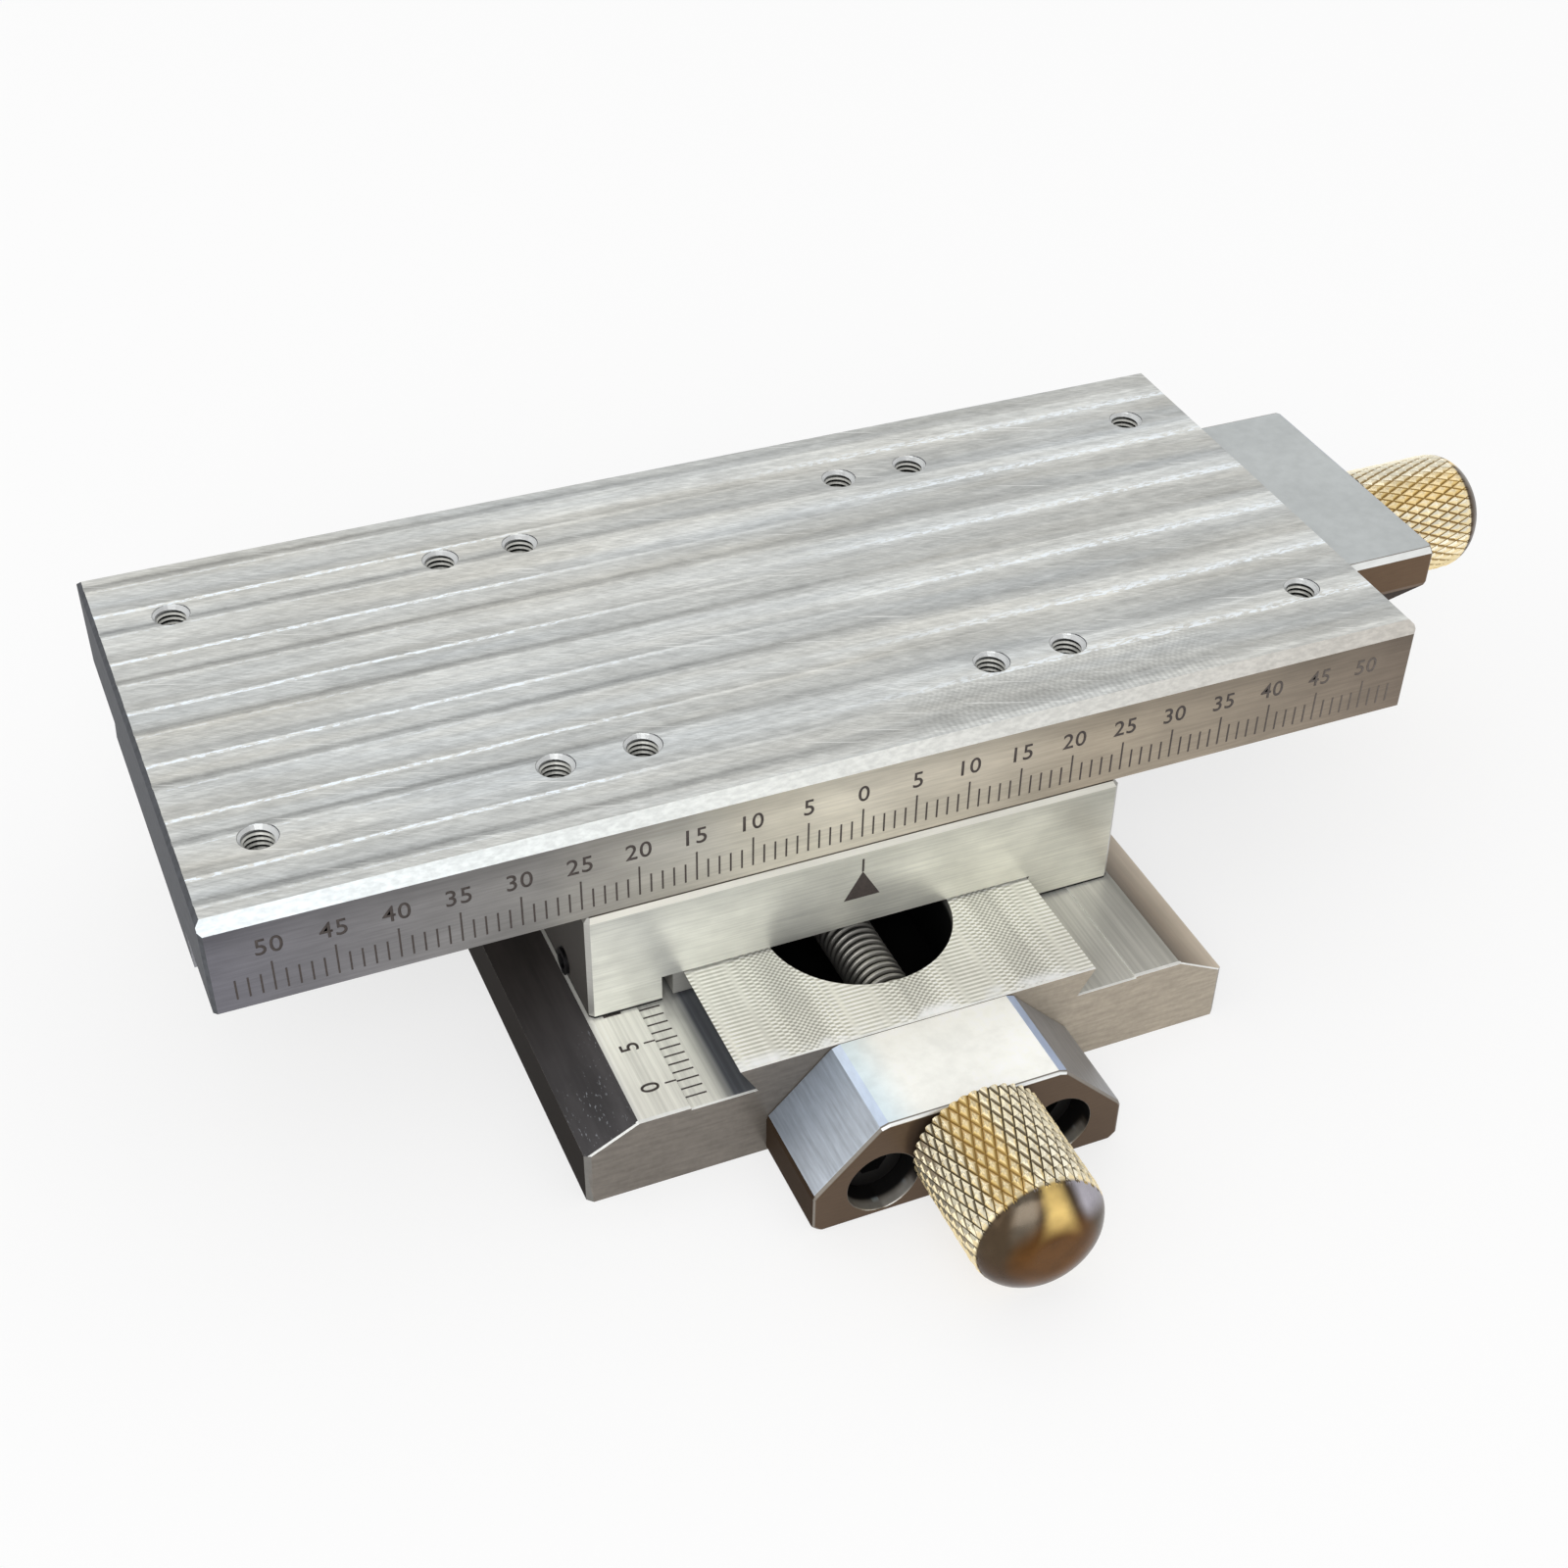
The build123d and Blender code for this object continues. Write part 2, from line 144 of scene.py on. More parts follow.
def weld(mesh, distance=WELD, fill=False):
    store_mesh(open_mesh(mesh, distance), mesh, fill)


def cut(piece, cutter):
    """Takes the cutter's solid out of a piece and bakes the result into its mesh."""
    tool = piece.modifiers.new("cut", "BOOLEAN")
    tool.operation = "DIFFERENCE"
    tool.object = cutter
    tool.solver = "MANIFOLD"
    seen = piece.evaluated_get(bpy.context.evaluated_depsgraph_get())
    mesh = bpy.data.meshes.new_from_object(seen)
    piece.modifiers.clear()
    piece.data = mesh
    bpy.data.objects.remove(cutter)


def ring(place, along, radius, columns):
    """Points evenly spaced round an axis; place turns (angle, along, radius) into a point."""
    return [place(math.tau * j / columns, along, radius) for j in range(columns)]


def placer(origin, axis):
    """Turns (angle, along, radius) round an axis into a point, right-handed about the axis."""
    origin = Vector(origin)
    first = Y if abs(axis.x) > 0.5 else X
    second = axis.cross(first)
    return lambda angle, along, radius: (
        origin + axis * along + (first * math.cos(angle) + second * math.sin(angle)) * radius
    )


# Tapped holes and flutes in the table's top

def helix_grid(pitch, rows, columns, start, end, radius_at, place):
    """Points and faces of a screw thread between start and end; radius_at takes (share, along)."""
    count = rows * (math.ceil((end - start) / pitch) + 1)
    verts = []
    for i in range(count + 1):
        for j in range(columns):
            along = min(max(start + pitch * (i / rows + j / columns - 1), start), end)
            verts.append(place(math.tau * j / columns, along, radius_at(i % rows / rows, along)))
    faces = []
    for i in range(count):
        for j in range(columns):
            if j < columns - 1:
                near, far = i * columns + j + 1, (i + 1) * columns + j + 1
            elif i + rows < count:
                near, far = (i + rows) * columns, (i + rows + 1) * columns
            else:
                continue
            faces.append((i * columns + j, near, far, (i + 1) * columns + j))
    return verts, faces


table_low, table_high = box_mm("table_plate")
table_middle_y = (table_low.y + table_high.y) / 2
TAP_PITCH = 0.5
TAP_CORE = 1.27  # just outside the CAD's bore
TAP_CREST = 1.55
TAP_DEPTH = 5.5
TAP_MOUTH = 1.7  # radius of the countersink at the table's top
TAP_OVER = 0.6  # of the cutter above the table's top
TAP_FADE = 0.4  # over which the thread fades out at both ends
TAP_ROWS, TAP_COLUMNS = 4, 28
HOLE_DEPTH = 7.0
HOLE_ROWS = 33.0
HOLE_SPACINGS = (32.4, 47.6, 96.5)
FLUTE_PITCH = 7.62
FLUTE_START = -23.8
FLUTE_DEPTHS = (  # (from the flute's dark line towards the back, depth), mm
    (0.00, 0.055), (0.20, 0.050), (0.45, 0.020), (2.30, 0.012), (2.75, 0.012), (3.05, 0.034),
    (3.35, 0.020), (3.95, 0.042), (4.35, 0.016), (6.10, 0.012), (6.60, 0.024), (6.90, 0.010),
    (7.25, 0.022), (7.45, 0.050),
)


def tap_radius(share, along):
    """Radius of the cutter: a thread, and a right-angled countersink at its mouth."""
    ridge = 1 - abs(2 * share - 1)
    fade_in = min(1, max(0, along / TAP_FADE))
    fade_out = min(1, max(0, (TAP_DEPTH + TAP_FADE - along) / TAP_FADE))
    thread = TAP_CORE + (TAP_CREST - TAP_CORE) * ridge * fade_in * fade_out
    return max(thread, TAP_MOUTH + along - TAP_DEPTH)


def tap_cutters():
    """One mesh that cuts all the holes' threads and mouths."""
    parts = []
    for spacing in HOLE_SPACINGS:
        for x in (-spacing / 2, spacing / 2):
            for y in (table_middle_y - HOLE_ROWS / 2, table_middle_y + HOLE_ROWS / 2):
                place = placer((x, y, table_high.z - TAP_DEPTH), Z)
                top = TAP_DEPTH + TAP_OVER
                parts.append(helix_grid(TAP_PITCH, TAP_ROWS, TAP_COLUMNS, 0, top, tap_radius, place))
    mesh = mesh_from("tap_cutters", *join_skins(parts))
    weld(mesh, FINE_WELD, fill=True)
    return add_object("tap_cutters", mesh)


def flute_cutter():
    """A slab over the table whose underside has the flutes' profile."""
    line = []
    for turn in range(-1, 8):
        for step, depth in FLUTE_DEPTHS:
            y = FLUTE_START + turn * FLUTE_PITCH + step
            if table_low.y - 1 < y < table_high.y + 1:
                line.append((y, table_high.z - depth))
    line = [(table_low.y - 1, line[0][1]), *line, (table_high.y + 1, line[-1][1])]
    top = [(line[-1][0], table_high.z + 1), (line[0][0], table_high.z + 1)]
    outline = line + top
    ends = (table_low.x - 1, table_high.x + 1)
    verts = [(x, y, z) for x in ends for y, z in outline]
    count = len(outline)
    faces = [tuple(range(count)), tuple(range(2 * count - 1, count - 1, -1))]
    faces += [(i, i + count, (i + 1) % count + count, (i + 1) % count) for i in range(count)]
    mesh = mesh_from("flute_cutter", verts, faces)
    weld(mesh)
    return add_object("flute_cutter", mesh)


table_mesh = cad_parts["table_plate"].data.copy()
table_mesh.name = "table_plate_fluted"
weld(table_mesh)
table_top = add_object("table_plate_fluted", table_mesh)
cut(table_top, tap_cutters())
cut(table_top, flute_cutter())


# Knurled knobs

KNURL_COUNT = 38
KNURL_PERIOD = 2.36  # a diamond's length along the knob
KNURL_STEPS = 4  # grid steps across half a diamond
KNURL_DEPTH = 0.26
KNURL_FLAT = 0.70  # share of a diamond's slope that is left under its flat top
KNOB_DOME_LENGTH = 3.6
KNOB_DOME_FLAT = 1.6  # radius of the flat at the dome's end
KNOB_BORE = 2.03
KNOB_BORE_DEPTH = 9.5
KNOB_SCREW_INSET = 3.5
KNOB_SCREW_RADIUS = 1.28
KNOB_ROUND_STEPS = 14
KNURL_OVERRUN = 1.3  # of the knurl over the foot of the dome
DRILL_SIDES = 32
DRILL_START = 1.0  # from the knob's axis


def knob_profile(length, radius):
    """Radius of the plain knob by the distance from its back: a grip and an elliptical dome."""
    edge = length - KNOB_DOME_LENGTH

    def radius_at(along):
        share = min(1, max(0, along - edge) / KNOB_DOME_LENGTH)
        return KNOB_DOME_FLAT + (radius - KNOB_DOME_FLAT) * math.sqrt(1 - share ** 2)

    return radius_at, edge


def knurled_knob(name, node, axis):
    """A knob with a diamond knurl, a smooth dome, the shaft's bore and the set screw's hole."""
    low, high = box_mm(node)
    middle = (low + high) / 2
    length = (high - low).dot(Vector(map(abs, axis)))
    radius = (high.z - low.z) / 2
    back = middle - axis * length / 2
    place = placer(back, axis)
    plain, edge = knob_profile(length, radius)
    columns = 2 * KNURL_COUNT * KNURL_STEPS
    step = KNURL_PERIOD / 2 / KNURL_STEPS
    knurl_end = edge + KNURL_OVERRUN
    verts, faces = [], []
    rows = round(knurl_end / step) + 1
    for i in range(rows):
        along = min(i * step, knurl_end)
        for j in range(columns):
            ridges = []
            for turn in (1, -1):
                phase = (j + turn * i) / KNURL_STEPS % 2
                ridges.append(min(1, (1 - abs(phase - 1)) / KNURL_FLAT))
            groove = radius - KNURL_DEPTH * (1 - min(ridges))
            verts.append(place(math.tau * j / columns, along, min(plain(along), groove)))
    for i in range(rows - 1):
        for j in range(columns):
            a, b = i * columns + j, i * columns + (j + 1) % columns
            c, d = b + columns, a + columns
            faces += [(a, b, c), (a, c, d)] if (i + j) % 2 == 0 else [(a, b, d), (b, c, d)]
    grip_faces = len(faces)
    last = (rows - 1) * columns
    lean = math.asin(((rows - 1) * step - edge) / KNOB_DOME_LENGTH)
    for k in range(1, KNOB_ROUND_STEPS + 1):
        turn = lean + (math.pi / 2 - lean) * k / KNOB_ROUND_STEPS
        along = edge + KNOB_DOME_LENGTH * math.sin(turn)
        verts += ring(place, along, plain(along), columns)
        for j in range(columns):
            a, b = last + j, last + (j + 1) % columns
            faces.append((a, b, b + columns, a + columns))
        last += columns
    verts.append(place(0, length, 0))
    faces += [(last + j, last + (j + 1) % columns, len(verts) - 1) for j in range(columns)]
    dome = range(grip_faces, len(faces))
    last = 0
    for along in (0, KNOB_BORE_DEPTH):
        start = len(verts)
        verts += ring(place, along, KNOB_BORE, columns)
        for j in range(columns):
            k = (j + 1) % columns
            faces.append((last + k, last + j, start + j, start + k))
        last = start
    verts.append(place(0, KNOB_BORE_DEPTH, 0))
    faces += [(last + (j + 1) % columns, last + j, len(verts) - 1) for j in range(columns)]
    knob = add_object(name, mesh_from(name, verts, faces, dome))
    cut(knob, knob_drill(back + axis * KNOB_SCREW_INSET, radius))
    return knob


def knob_drill(centre, radius):
    """A rod that cuts the set screw's hole in the knob's underside."""
    place = placer(centre, -Z)
    sides = DRILL_SIDES
    verts = []
    for along in (DRILL_START, radius + 1):
        verts += ring(place, along, KNOB_SCREW_RADIUS, sides)
    walls = [(j, (j + 1) % sides, (j + 1) % sides + sides, j + sides) for j in range(sides)]
    walls += [tuple(range(sides - 1, -1, -1)), tuple(range(sides, 2 * sides))]
    mesh = mesh_from("drill", verts, walls)
    weld(mesh)
    return add_object("drill", mesh)


# Feed screws with their thread

THREAD_PITCH = 0.8
THREAD_CREST = 2.45
THREAD_ROOT = 1.98
THREAD_ROWS = 8
THREAD_COLUMNS = 56
THREAD_SHAPE = (0.0, 0.3, 0.72, 0.95, 1.0, 1.0, 0.86, 0.4)
THREAD_END = -1.2  # where it runs out before the collar
THREAD_FADE = 0.6  # over which it does so
TIP_RADIUS = 1.88  # at the screw's tip, from where it widens at 45 degrees
COLLAR_START, COLLAR_END = 0.05, 2.45
COLLAR_RADIUS = 2.9
JOURNAL_RADIUS = 2.0
JOURNAL_CHAMFER = 0.4


def threaded_screw(name, node, axis, origin):
    """A feed screw with thread, collar and journal; origin is where its axis meets the end face."""
    reach = [(corner - origin).dot(axis) for corner in box_mm(node)]
    tip, journal_end = min(reach), max(reach)
    place = placer(origin, axis)

    def radius_at(share, along):
        height = THREAD_SHAPE[round(share * THREAD_ROWS) % THREAD_ROWS]
        height *= min(1, max(0, (THREAD_END - along) / THREAD_FADE))
        thread = THREAD_ROOT + (THREAD_CREST - THREAD_ROOT) * height
        return min(thread, TIP_RADIUS + along - tip)

    verts, faces = helix_grid(THREAD_PITCH, THREAD_ROWS, THREAD_COLUMNS, tip, THREAD_END, radius_at, place)
    mesh = mesh_from(name, verts, faces)
    bm = open_mesh(mesh, FINE_WELD)
    shoulder = (
        (COLLAR_START, THREAD_ROOT), (COLLAR_START, COLLAR_RADIUS),
        (COLLAR_END, COLLAR_RADIUS), (COLLAR_END, JOURNAL_RADIUS),
        (journal_end - JOURNAL_CHAMFER, JOURNAL_RADIUS), (journal_end, JOURNAL_RADIUS - JOURNAL_CHAMFER),
    )
    far = place(0, THREAD_END, 0) * MM
    rim = [e for e in bm.edges if e.is_boundary and abs((e.verts[0].co - far).dot(axis)) < 1e-6]
    for along, radius in shoulder:
        made = bmesh.ops.extrude_edge_only(bm, edges=rim)["geom"]
        rim = [e for e in made if isinstance(e, bmesh.types.BMEdge)]
        for vert in {v for e in rim for v in e.verts}:
            offset = vert.co - far
            out = offset - axis * offset.dot(axis)
            centre = place(0, along, 0) * MM
            vert.co = centre + out.normalized() * radius * MM
    store_mesh(bm, mesh, fill=True)
    return add_object(name, mesh)


# Scales, laser marked: thin closed bars and digits that stand a hair proud of their face

MARK_RISE = 0.02
MARK_SINK = 0.03
LINE_WIDTH = 0.16
DIGIT_HEIGHT = 1.6
DIGIT_WEIGHT = 0.005  # how much the strokes are thickened, as a share of the type's size
DIGIT_SPACING = 1.08


def bar(corners, normal):
    """A closed prism over a flat outline given by its corners on the face."""
    low = [Vector(c) - normal * MARK_SINK for c in corners]
    high = [Vector(c) + normal * MARK_RISE for c in corners]
    count = len(corners)
    faces = [tuple(range(count - 1, -1, -1)), tuple(range(count, 2 * count))]
    faces += [(i, (i + 1) % count, (i + 1) % count + count, i + count) for i in range(count)]
    return low + high, faces


def join_bars(name, bars):
    mesh = mesh_from(name, *join_skins(bars))
    weld(mesh)
    return add_object(name, mesh)


def numbers(name, labels, right, up, normal):
    """Numbers as closed meshes; labels holds (text, centre of the text on the face)."""
    bm = bmesh.new()
    for text, centre in labels:
        curve = bpy.data.curves.new("text", "FONT")
        curve.body = text
        curve.align_x = "CENTER"
        curve.size = 1.0
        curve.space_character = DIGIT_SPACING
        curve.offset = DIGIT_WEIGHT
        curve.resolution_u = 6
        holder = bpy.data.objects.new("text", curve)
        bpy.context.scene.collection.objects.link(holder)
        seen = holder.evaluated_get(bpy.context.evaluated_depsgraph_get())
        flat = bpy.data.meshes.new_from_object(seen)
        bpy.data.objects.remove(holder)
        xs = [v.co.x for v in flat.vertices]
        ys = [v.co.y for v in flat.vertices]
        scale = DIGIT_HEIGHT / (max(ys) - min(ys))
        middle = Vector(((max(xs) + min(xs)) / 2, (max(ys) + min(ys)) / 2, 0))
        part = bmesh.new()
        part.from_mesh(flat)
        bmesh.ops.remove_doubles(part, verts=part.verts, dist=1e-5)
        made = bmesh.ops.extrude_face_region(part, geom=part.faces[:])["geom"]
        lifted = {v for v in made if isinstance(v, bmesh.types.BMVert)}
        for vert in part.verts:
            local = (vert.co - middle) * scale
            rise = MARK_RISE if vert in lifted else -MARK_SINK
            vert.co = (Vector(centre) + right * local.x + up * local.y + normal * rise) * MM
        piece = bpy.data.meshes.new("digit")
        part.to_mesh(piece)
        part.free()
        bm.from_mesh(piece)
    mesh = bpy.data.meshes.new(name)
    store_mesh(bm, mesh)
    return add_object(name, mesh)


def line_on(centre, along, length, across, width, normal):
    """A straight scale line on a face, from its centre."""
    centre, along, across = Vector(centre), along * length / 2, across * width / 2
    return bar([centre + along * i + across * j for i, j in SQUARE], normal)


TABLE_TICK_FOOT = 19.8
TABLE_TICK_LONG, TABLE_TICK_SHORT = 3.0, 1.95
TABLE_TICK_LAST = 53
TABLE_NUMBER_LAST = 50
TABLE_DIGIT_LEVEL = 24.47
front = table_low.y
table_ticks = []
for reading in range(-TABLE_TICK_LAST, TABLE_TICK_LAST + 1):
    height = TABLE_TICK_SHORT if reading % 5 else TABLE_TICK_LONG
    centre = (reading, front, TABLE_TICK_FOOT + height / 2)
    table_ticks.append(line_on(centre, Z, height, X, LINE_WIDTH, -Y))
table_scale = join_bars("table_scale_lines", table_ticks)
table_labels = []
for reading in range(-TABLE_NUMBER_LAST, TABLE_NUMBER_LAST + 1, 5):
    table_labels.append((str(abs(reading)), (reading, front, TABLE_DIGIT_LEVEL)))
table_digits = numbers("table_scale_numbers", table_labels, X, Z, -Y)

STRIP_LEVEL, FLAT_LEVEL = 7.7, 7.5  # of the base's left strip and of the flat beside it
STRIP_EDGE = -20.8
SCALE_ZERO = -36.5
SCALE_FIRST, SCALE_LAST = -2, 25
BASE_TICK_LONG = (-21.8, -18.8)  # x of its outer and inner end
BASE_TICK_SHORT = (-20.75, -18.9)
BASE_DIGIT_X = -23.1
base_ticks = []
base_labels = []
for reading in range(SCALE_FIRST, SCALE_LAST + 1):
    y = SCALE_ZERO + reading
    numbered = reading % 5 == 0
    outer, inner = BASE_TICK_LONG if numbered else BASE_TICK_SHORT
    low_outer = max(outer, STRIP_EDGE)
    low_centre = ((inner + low_outer) / 2, y, FLAT_LEVEL)
    base_ticks.append(line_on(low_centre, X, inner - low_outer, Y, LINE_WIDTH, Z))
    if numbered:
        high_centre = ((outer + STRIP_EDGE) / 2, y, STRIP_LEVEL)
        base_ticks.append(line_on(high_centre, X, STRIP_EDGE - outer, Y, LINE_WIDTH, Z))
        base_labels.append((str(reading), (BASE_DIGIT_X, y, STRIP_LEVEL)))
base_scale = join_bars("base_scale_lines", base_ticks)
base_digits = numbers("base_scale_numbers", base_labels, Y, -X, Z)

INDEX_FOOT, INDEX_TIP = 13.4, 16.3  # levels of the index arrow
INDEX_HALF_WIDTH = 1.7
INDEX_LINE_LENGTH, INDEX_LINE_WIDTH = 1.4, 0.2
saddle_front = box_mm("saddle")[0].y
index_line = line_on((0, saddle_front, INDEX_TIP + INDEX_LINE_LENGTH / 2), Z, INDEX_LINE_LENGTH, X,
                     INDEX_LINE_WIDTH, -Y)
index_arrow = bar([
    (-INDEX_HALF_WIDTH, saddle_front, INDEX_FOOT), (INDEX_HALF_WIDTH, saddle_front, INDEX_FOOT),
    (0, saddle_front, INDEX_TIP),
], -Y)
saddle_index = join_bars("saddle_index_mark", [index_line, index_arrow])


# Materials

def fill_ramp(node, stops):
    """Sets the stops of a colour ramp, each a place from 0 to 1 and a linear colour."""
    elements = node.color_ramp.elements
    while len(elements) < len(stops):
        elements.new(1.0)
    for element, (place, colour) in zip(elements, stops):
        element.position = place
        element.color = colour


def grey_stops(stops):
    return [(place, (level, level, level, 1.0)) for place, level in stops]


class Paint:
    """One procedural material. Its methods add a node and give back the socket to go on with.

    Places and distances are in millimetres on the part.
    """

    def __init__(self, name, metallic=0.9, roughness=0.35, specular=0.35):
        self.material = bpy.data.materials.new(name)
        self.material.use_nodes = True
        self.tree = self.material.node_tree
        self.bsdf = self.tree.nodes["Principled BSDF"]
        self.metallic = metallic
        # mask of the painted shade, which finish makes hardly metallic and rough
        self.dull = None
        self.bsdf.inputs["Metallic"].default_value = metallic
        self.bsdf.inputs["Roughness"].default_value = roughness
        self.bsdf.inputs["Specular IOR Level"].default_value = specular
        coordinates = self.tree.nodes.new("ShaderNodeTexCoord")
        self.normal = coordinates.outputs["Normal"]
        self.point = self.vector("MULTIPLY", coordinates.outputs["Object"], [1 / MM] * 3)

    def node(self, kind, inputs=(), **settings):
        node = self.tree.nodes.new(kind)
        for setting, value in settings.items():
            setattr(node, setting, value)
        for key, value in inputs:
            self.put(value, node.inputs[key])
        return node

    def put(self, value, socket):
        if isinstance(value, bpy.types.NodeSocket):
            self.tree.links.new(value, socket)
        elif value is not None:
            socket.default_value = value

    def math(self, operation, a, b=None, c=None):
        return self.node("ShaderNodeMath", [(0, a), (1, b), (2, c)], operation=operation).outputs[0]

    def vector(self, operation, a, b=None):
        outputs = self.node("ShaderNodeVectorMath", [(0, a), (1, b)], operation=operation).outputs
        return outputs["Value"] if operation in ("DOT_PRODUCT", "LENGTH") else outputs[0]

    def minus(self, a, b):
        return self.math("SUBTRACT", a, b)

    def magnitude(self, value):
        return self.math("ABSOLUTE", value)

    def times(self, first, *others):
        for other in others:
            first = self.math("MULTIPLY", first, other)
        return first

    def mix(self, factor, a, b, blend="MIX"):
        """A blend of two colours, each a socket or a screen colour."""
        a, b = [srgb(*colour) if isinstance(colour, tuple) else colour for colour in (a, b)]
        inputs = [(0, factor), (6, a), (7, b)]
        return self.node("ShaderNodeMix", inputs, data_type="RGBA", blend_type=blend).outputs[2]

    def step(self, value, low, high, to_low=0.0, to_high=1.0):
        """The value's share of the way from low to high, held at both ends."""
        inputs = [(0, value), (1, low), (2, high), (3, to_low), (4, to_high)]
        return self.node("ShaderNodeMapRange", inputs, interpolation_type="SMOOTHSTEP").outputs[0]

    def within(self, value, low, high):
        """1 where the value lies between two limits."""
        return self.times(self.math("GREATER_THAN", value, low), self.math("LESS_THAN", value, high))

    def places(self):
        """x, y and z on the part."""
        return self.node("ShaderNodeSeparateXYZ", [(0, self.point)]).outputs[:3]

    def around(self, origin, axis):
        """Distance from an axis of the part."""
        offset = self.vector("SUBTRACT", self.point, origin)
        flat = Vector((1, 1, 1)) - Vector(map(abs, axis))
        return self.vector("LENGTH", self.vector("MULTIPLY", offset, flat))

    def along_line(self, origin, direction):
        """Distance from a point of the part along a direction."""
        offset = self.vector("SUBTRACT", self.point, origin)
        return self.vector("DOT_PRODUCT", offset, Vector(direction).normalized())

    def along_normal(self, direction):
        """How far the surface's normal points in a direction of the part."""
        return self.vector("DOT_PRODUCT", self.normal, Vector(direction).normalized())

    def facing(self, direction, low=0.75, high=0.92):
        """1 where the surface faces a direction of the part, 0 elsewhere."""
        return self.step(self.along_normal(direction), low, high)

    def face(self, colour, other, direction, *limits):
        """The other colour where the surface faces a direction."""
        return self.mix(self.facing(direction, *limits), colour, other)

    def soot(self, colour, other, mask):
        """Painted shade: a dark, dull colour where the mask is 1."""
        self.dull = mask if self.dull is None else self.math("MAXIMUM", self.dull, mask)
        return self.mix(mask, colour, other)

    # Painted shade where the surface faces a direction.
    def dark_face(self, colour, other, direction, *limits):
        return self.soot(colour, other, self.facing(direction, *limits))

    def noise(self, scale, detail=4.0, roughness=0.55, turn=0.0):
        """Noise whose scale is given per millimetre along x, y and z, turned about z."""
        point = self.point
        if turn:
            inputs = [("Vector", point), ("Angle", turn)]
            point = self.node("ShaderNodeVectorRotate", inputs, rotation_type="Z_AXIS").outputs[0]
        stretched = self.vector("MULTIPLY", point, scale)
        inputs = [(0, stretched), ("Scale", 1.0), ("Detail", detail), ("Roughness", roughness)]
        return self.node("ShaderNodeTexNoise", inputs).outputs[0]

    def waver(self, scale, detail, reach, roughness=0.55):
        """Noise as a shift that reaches so far either way."""
        noise = self.noise(scale, detail, roughness)
        return self.math("MULTIPLY_ADD", noise, 2 * reach, -reach)

    def ramp(self, value, stops):
        node = self.node("ShaderNodeValToRGB", [(0, value)])
        fill_ramp(node, stops)
        return node.outputs[0]

    def colours(self, value, stops):
        """A blend of screen colours along a value; stops holds (value, colour)."""
        first, last = stops[0][0], stops[-1][0]
        share = self.node("ShaderNodeMapRange", [(0, value), (1, first), (2, last)]).outputs[0]
        stops = [((place - first) / (last - first), srgb(*colour)) for place, colour in stops]
        return self.ramp(share, stops)

    def scale(self, colour, level):
        """The colour made lighter or darker by a level."""
        grey = self.node("ShaderNodeCombineXYZ", [(n, level) for n in range(3)]).outputs[0]
        return self.mix(1.0, colour, grey, blend="MULTIPLY")

    def dim(self, colour, mask, level):
        """The colour taken down to a level where the mask is 1."""
        return self.scale(colour, self.step(mask, 0.0, 1.0, 1.0, level))

    def shade(self, colour, value, amount):
        """Lightens and darkens a colour by a noise value round 0.5."""
        return self.scale(colour, self.step(value, 0.25, 0.75, 1 - amount, 1 + amount))

    def wear(self, roughness, spread):
        """Roughness that drifts softly over the part."""
        drift = self.noise((0.1, 0.1, 0.1), detail=0.0)
        return self.math("MULTIPLY_ADD", drift, 2 * spread, roughness - spread)

    def bump(self, height, strength, distance):
        inputs = [("Strength", strength), ("Distance", distance * MM), ("Height", height)]
        self.put(self.node("ShaderNodeBump", inputs).outputs[0], self.bsdf.inputs["Normal"])

    def finish(self, colour, roughness=None):
        """Connects colour and roughness; what the painted shade covers is hardly metallic and rough."""
        self.put(colour, self.bsdf.inputs["Base Color"])
        if self.dull is not None:
            self.put(self.step(self.dull, 0.0, 1.0, self.metallic, 0.05), self.bsdf.inputs["Metallic"])
            if roughness is not None:
                roughness = self.math("MAXIMUM", roughness, self.times(self.dull, 0.8))
        if roughness is not None:
            self.put(roughness, self.bsdf.inputs["Roughness"])
        return self.material


def pass_share(paint, across, centre, spacing):
    """Where a point lies across its pass of the cutter: 0 in the middle, half either way at the sides."""
    lane = paint.math("DIVIDE", paint.minus(across, centre - spacing / 2), spacing)
    return paint.minus(paint.math("FRACT", paint.math("ADD", lane, 100.0)), 0.5)


def cutter_arcs(paint, across, along, centre, spacing, radius, feed):
    """Marks of a turning cutter in passes side by side: its leading and trailing edge, a feed apart."""
    offset = paint.times(pass_share(paint, across, centre, spacing), spacing)
    drop = paint.minus(radius ** 2, paint.times(offset, offset))
    bow = paint.math("SQRT", paint.math("MAXIMUM", drop, 0.0))
    waves = []
    for sign in ("ADD", "SUBTRACT"):
        turn = paint.times(paint.math(sign, along, bow), math.tau / feed)
        waves.append(paint.math("SINE", turn))
    return paint.math("MULTIPLY_ADD", paint.math("ADD", *waves), 0.25, 0.5)


def fade_marks(paint, marks, strength):
    """Marks round 0.5, brought nearer to it where the strength is under 1."""
    return paint.math("MULTIPLY_ADD", paint.minus(marks, 0.5), strength, 0.5)


BUMP_HEIGHT = 0.004


def satin(paint, colour, lines, amount, roughness, spread, bump=0.2):
    """Tool lines and soft clouds; lines is the noise scale per millimetre on each axis."""
    colour = paint.shade(colour, paint.noise(lines), amount)
    colour = paint.shade(colour, paint.noise((0.12, 0.12, 0.12)), amount)
    if bump:
        paint.bump(paint.noise(lines, detail=0.0), bump, BUMP_HEIGHT)
    return paint.finish(colour, paint.wear(roughness, spread))


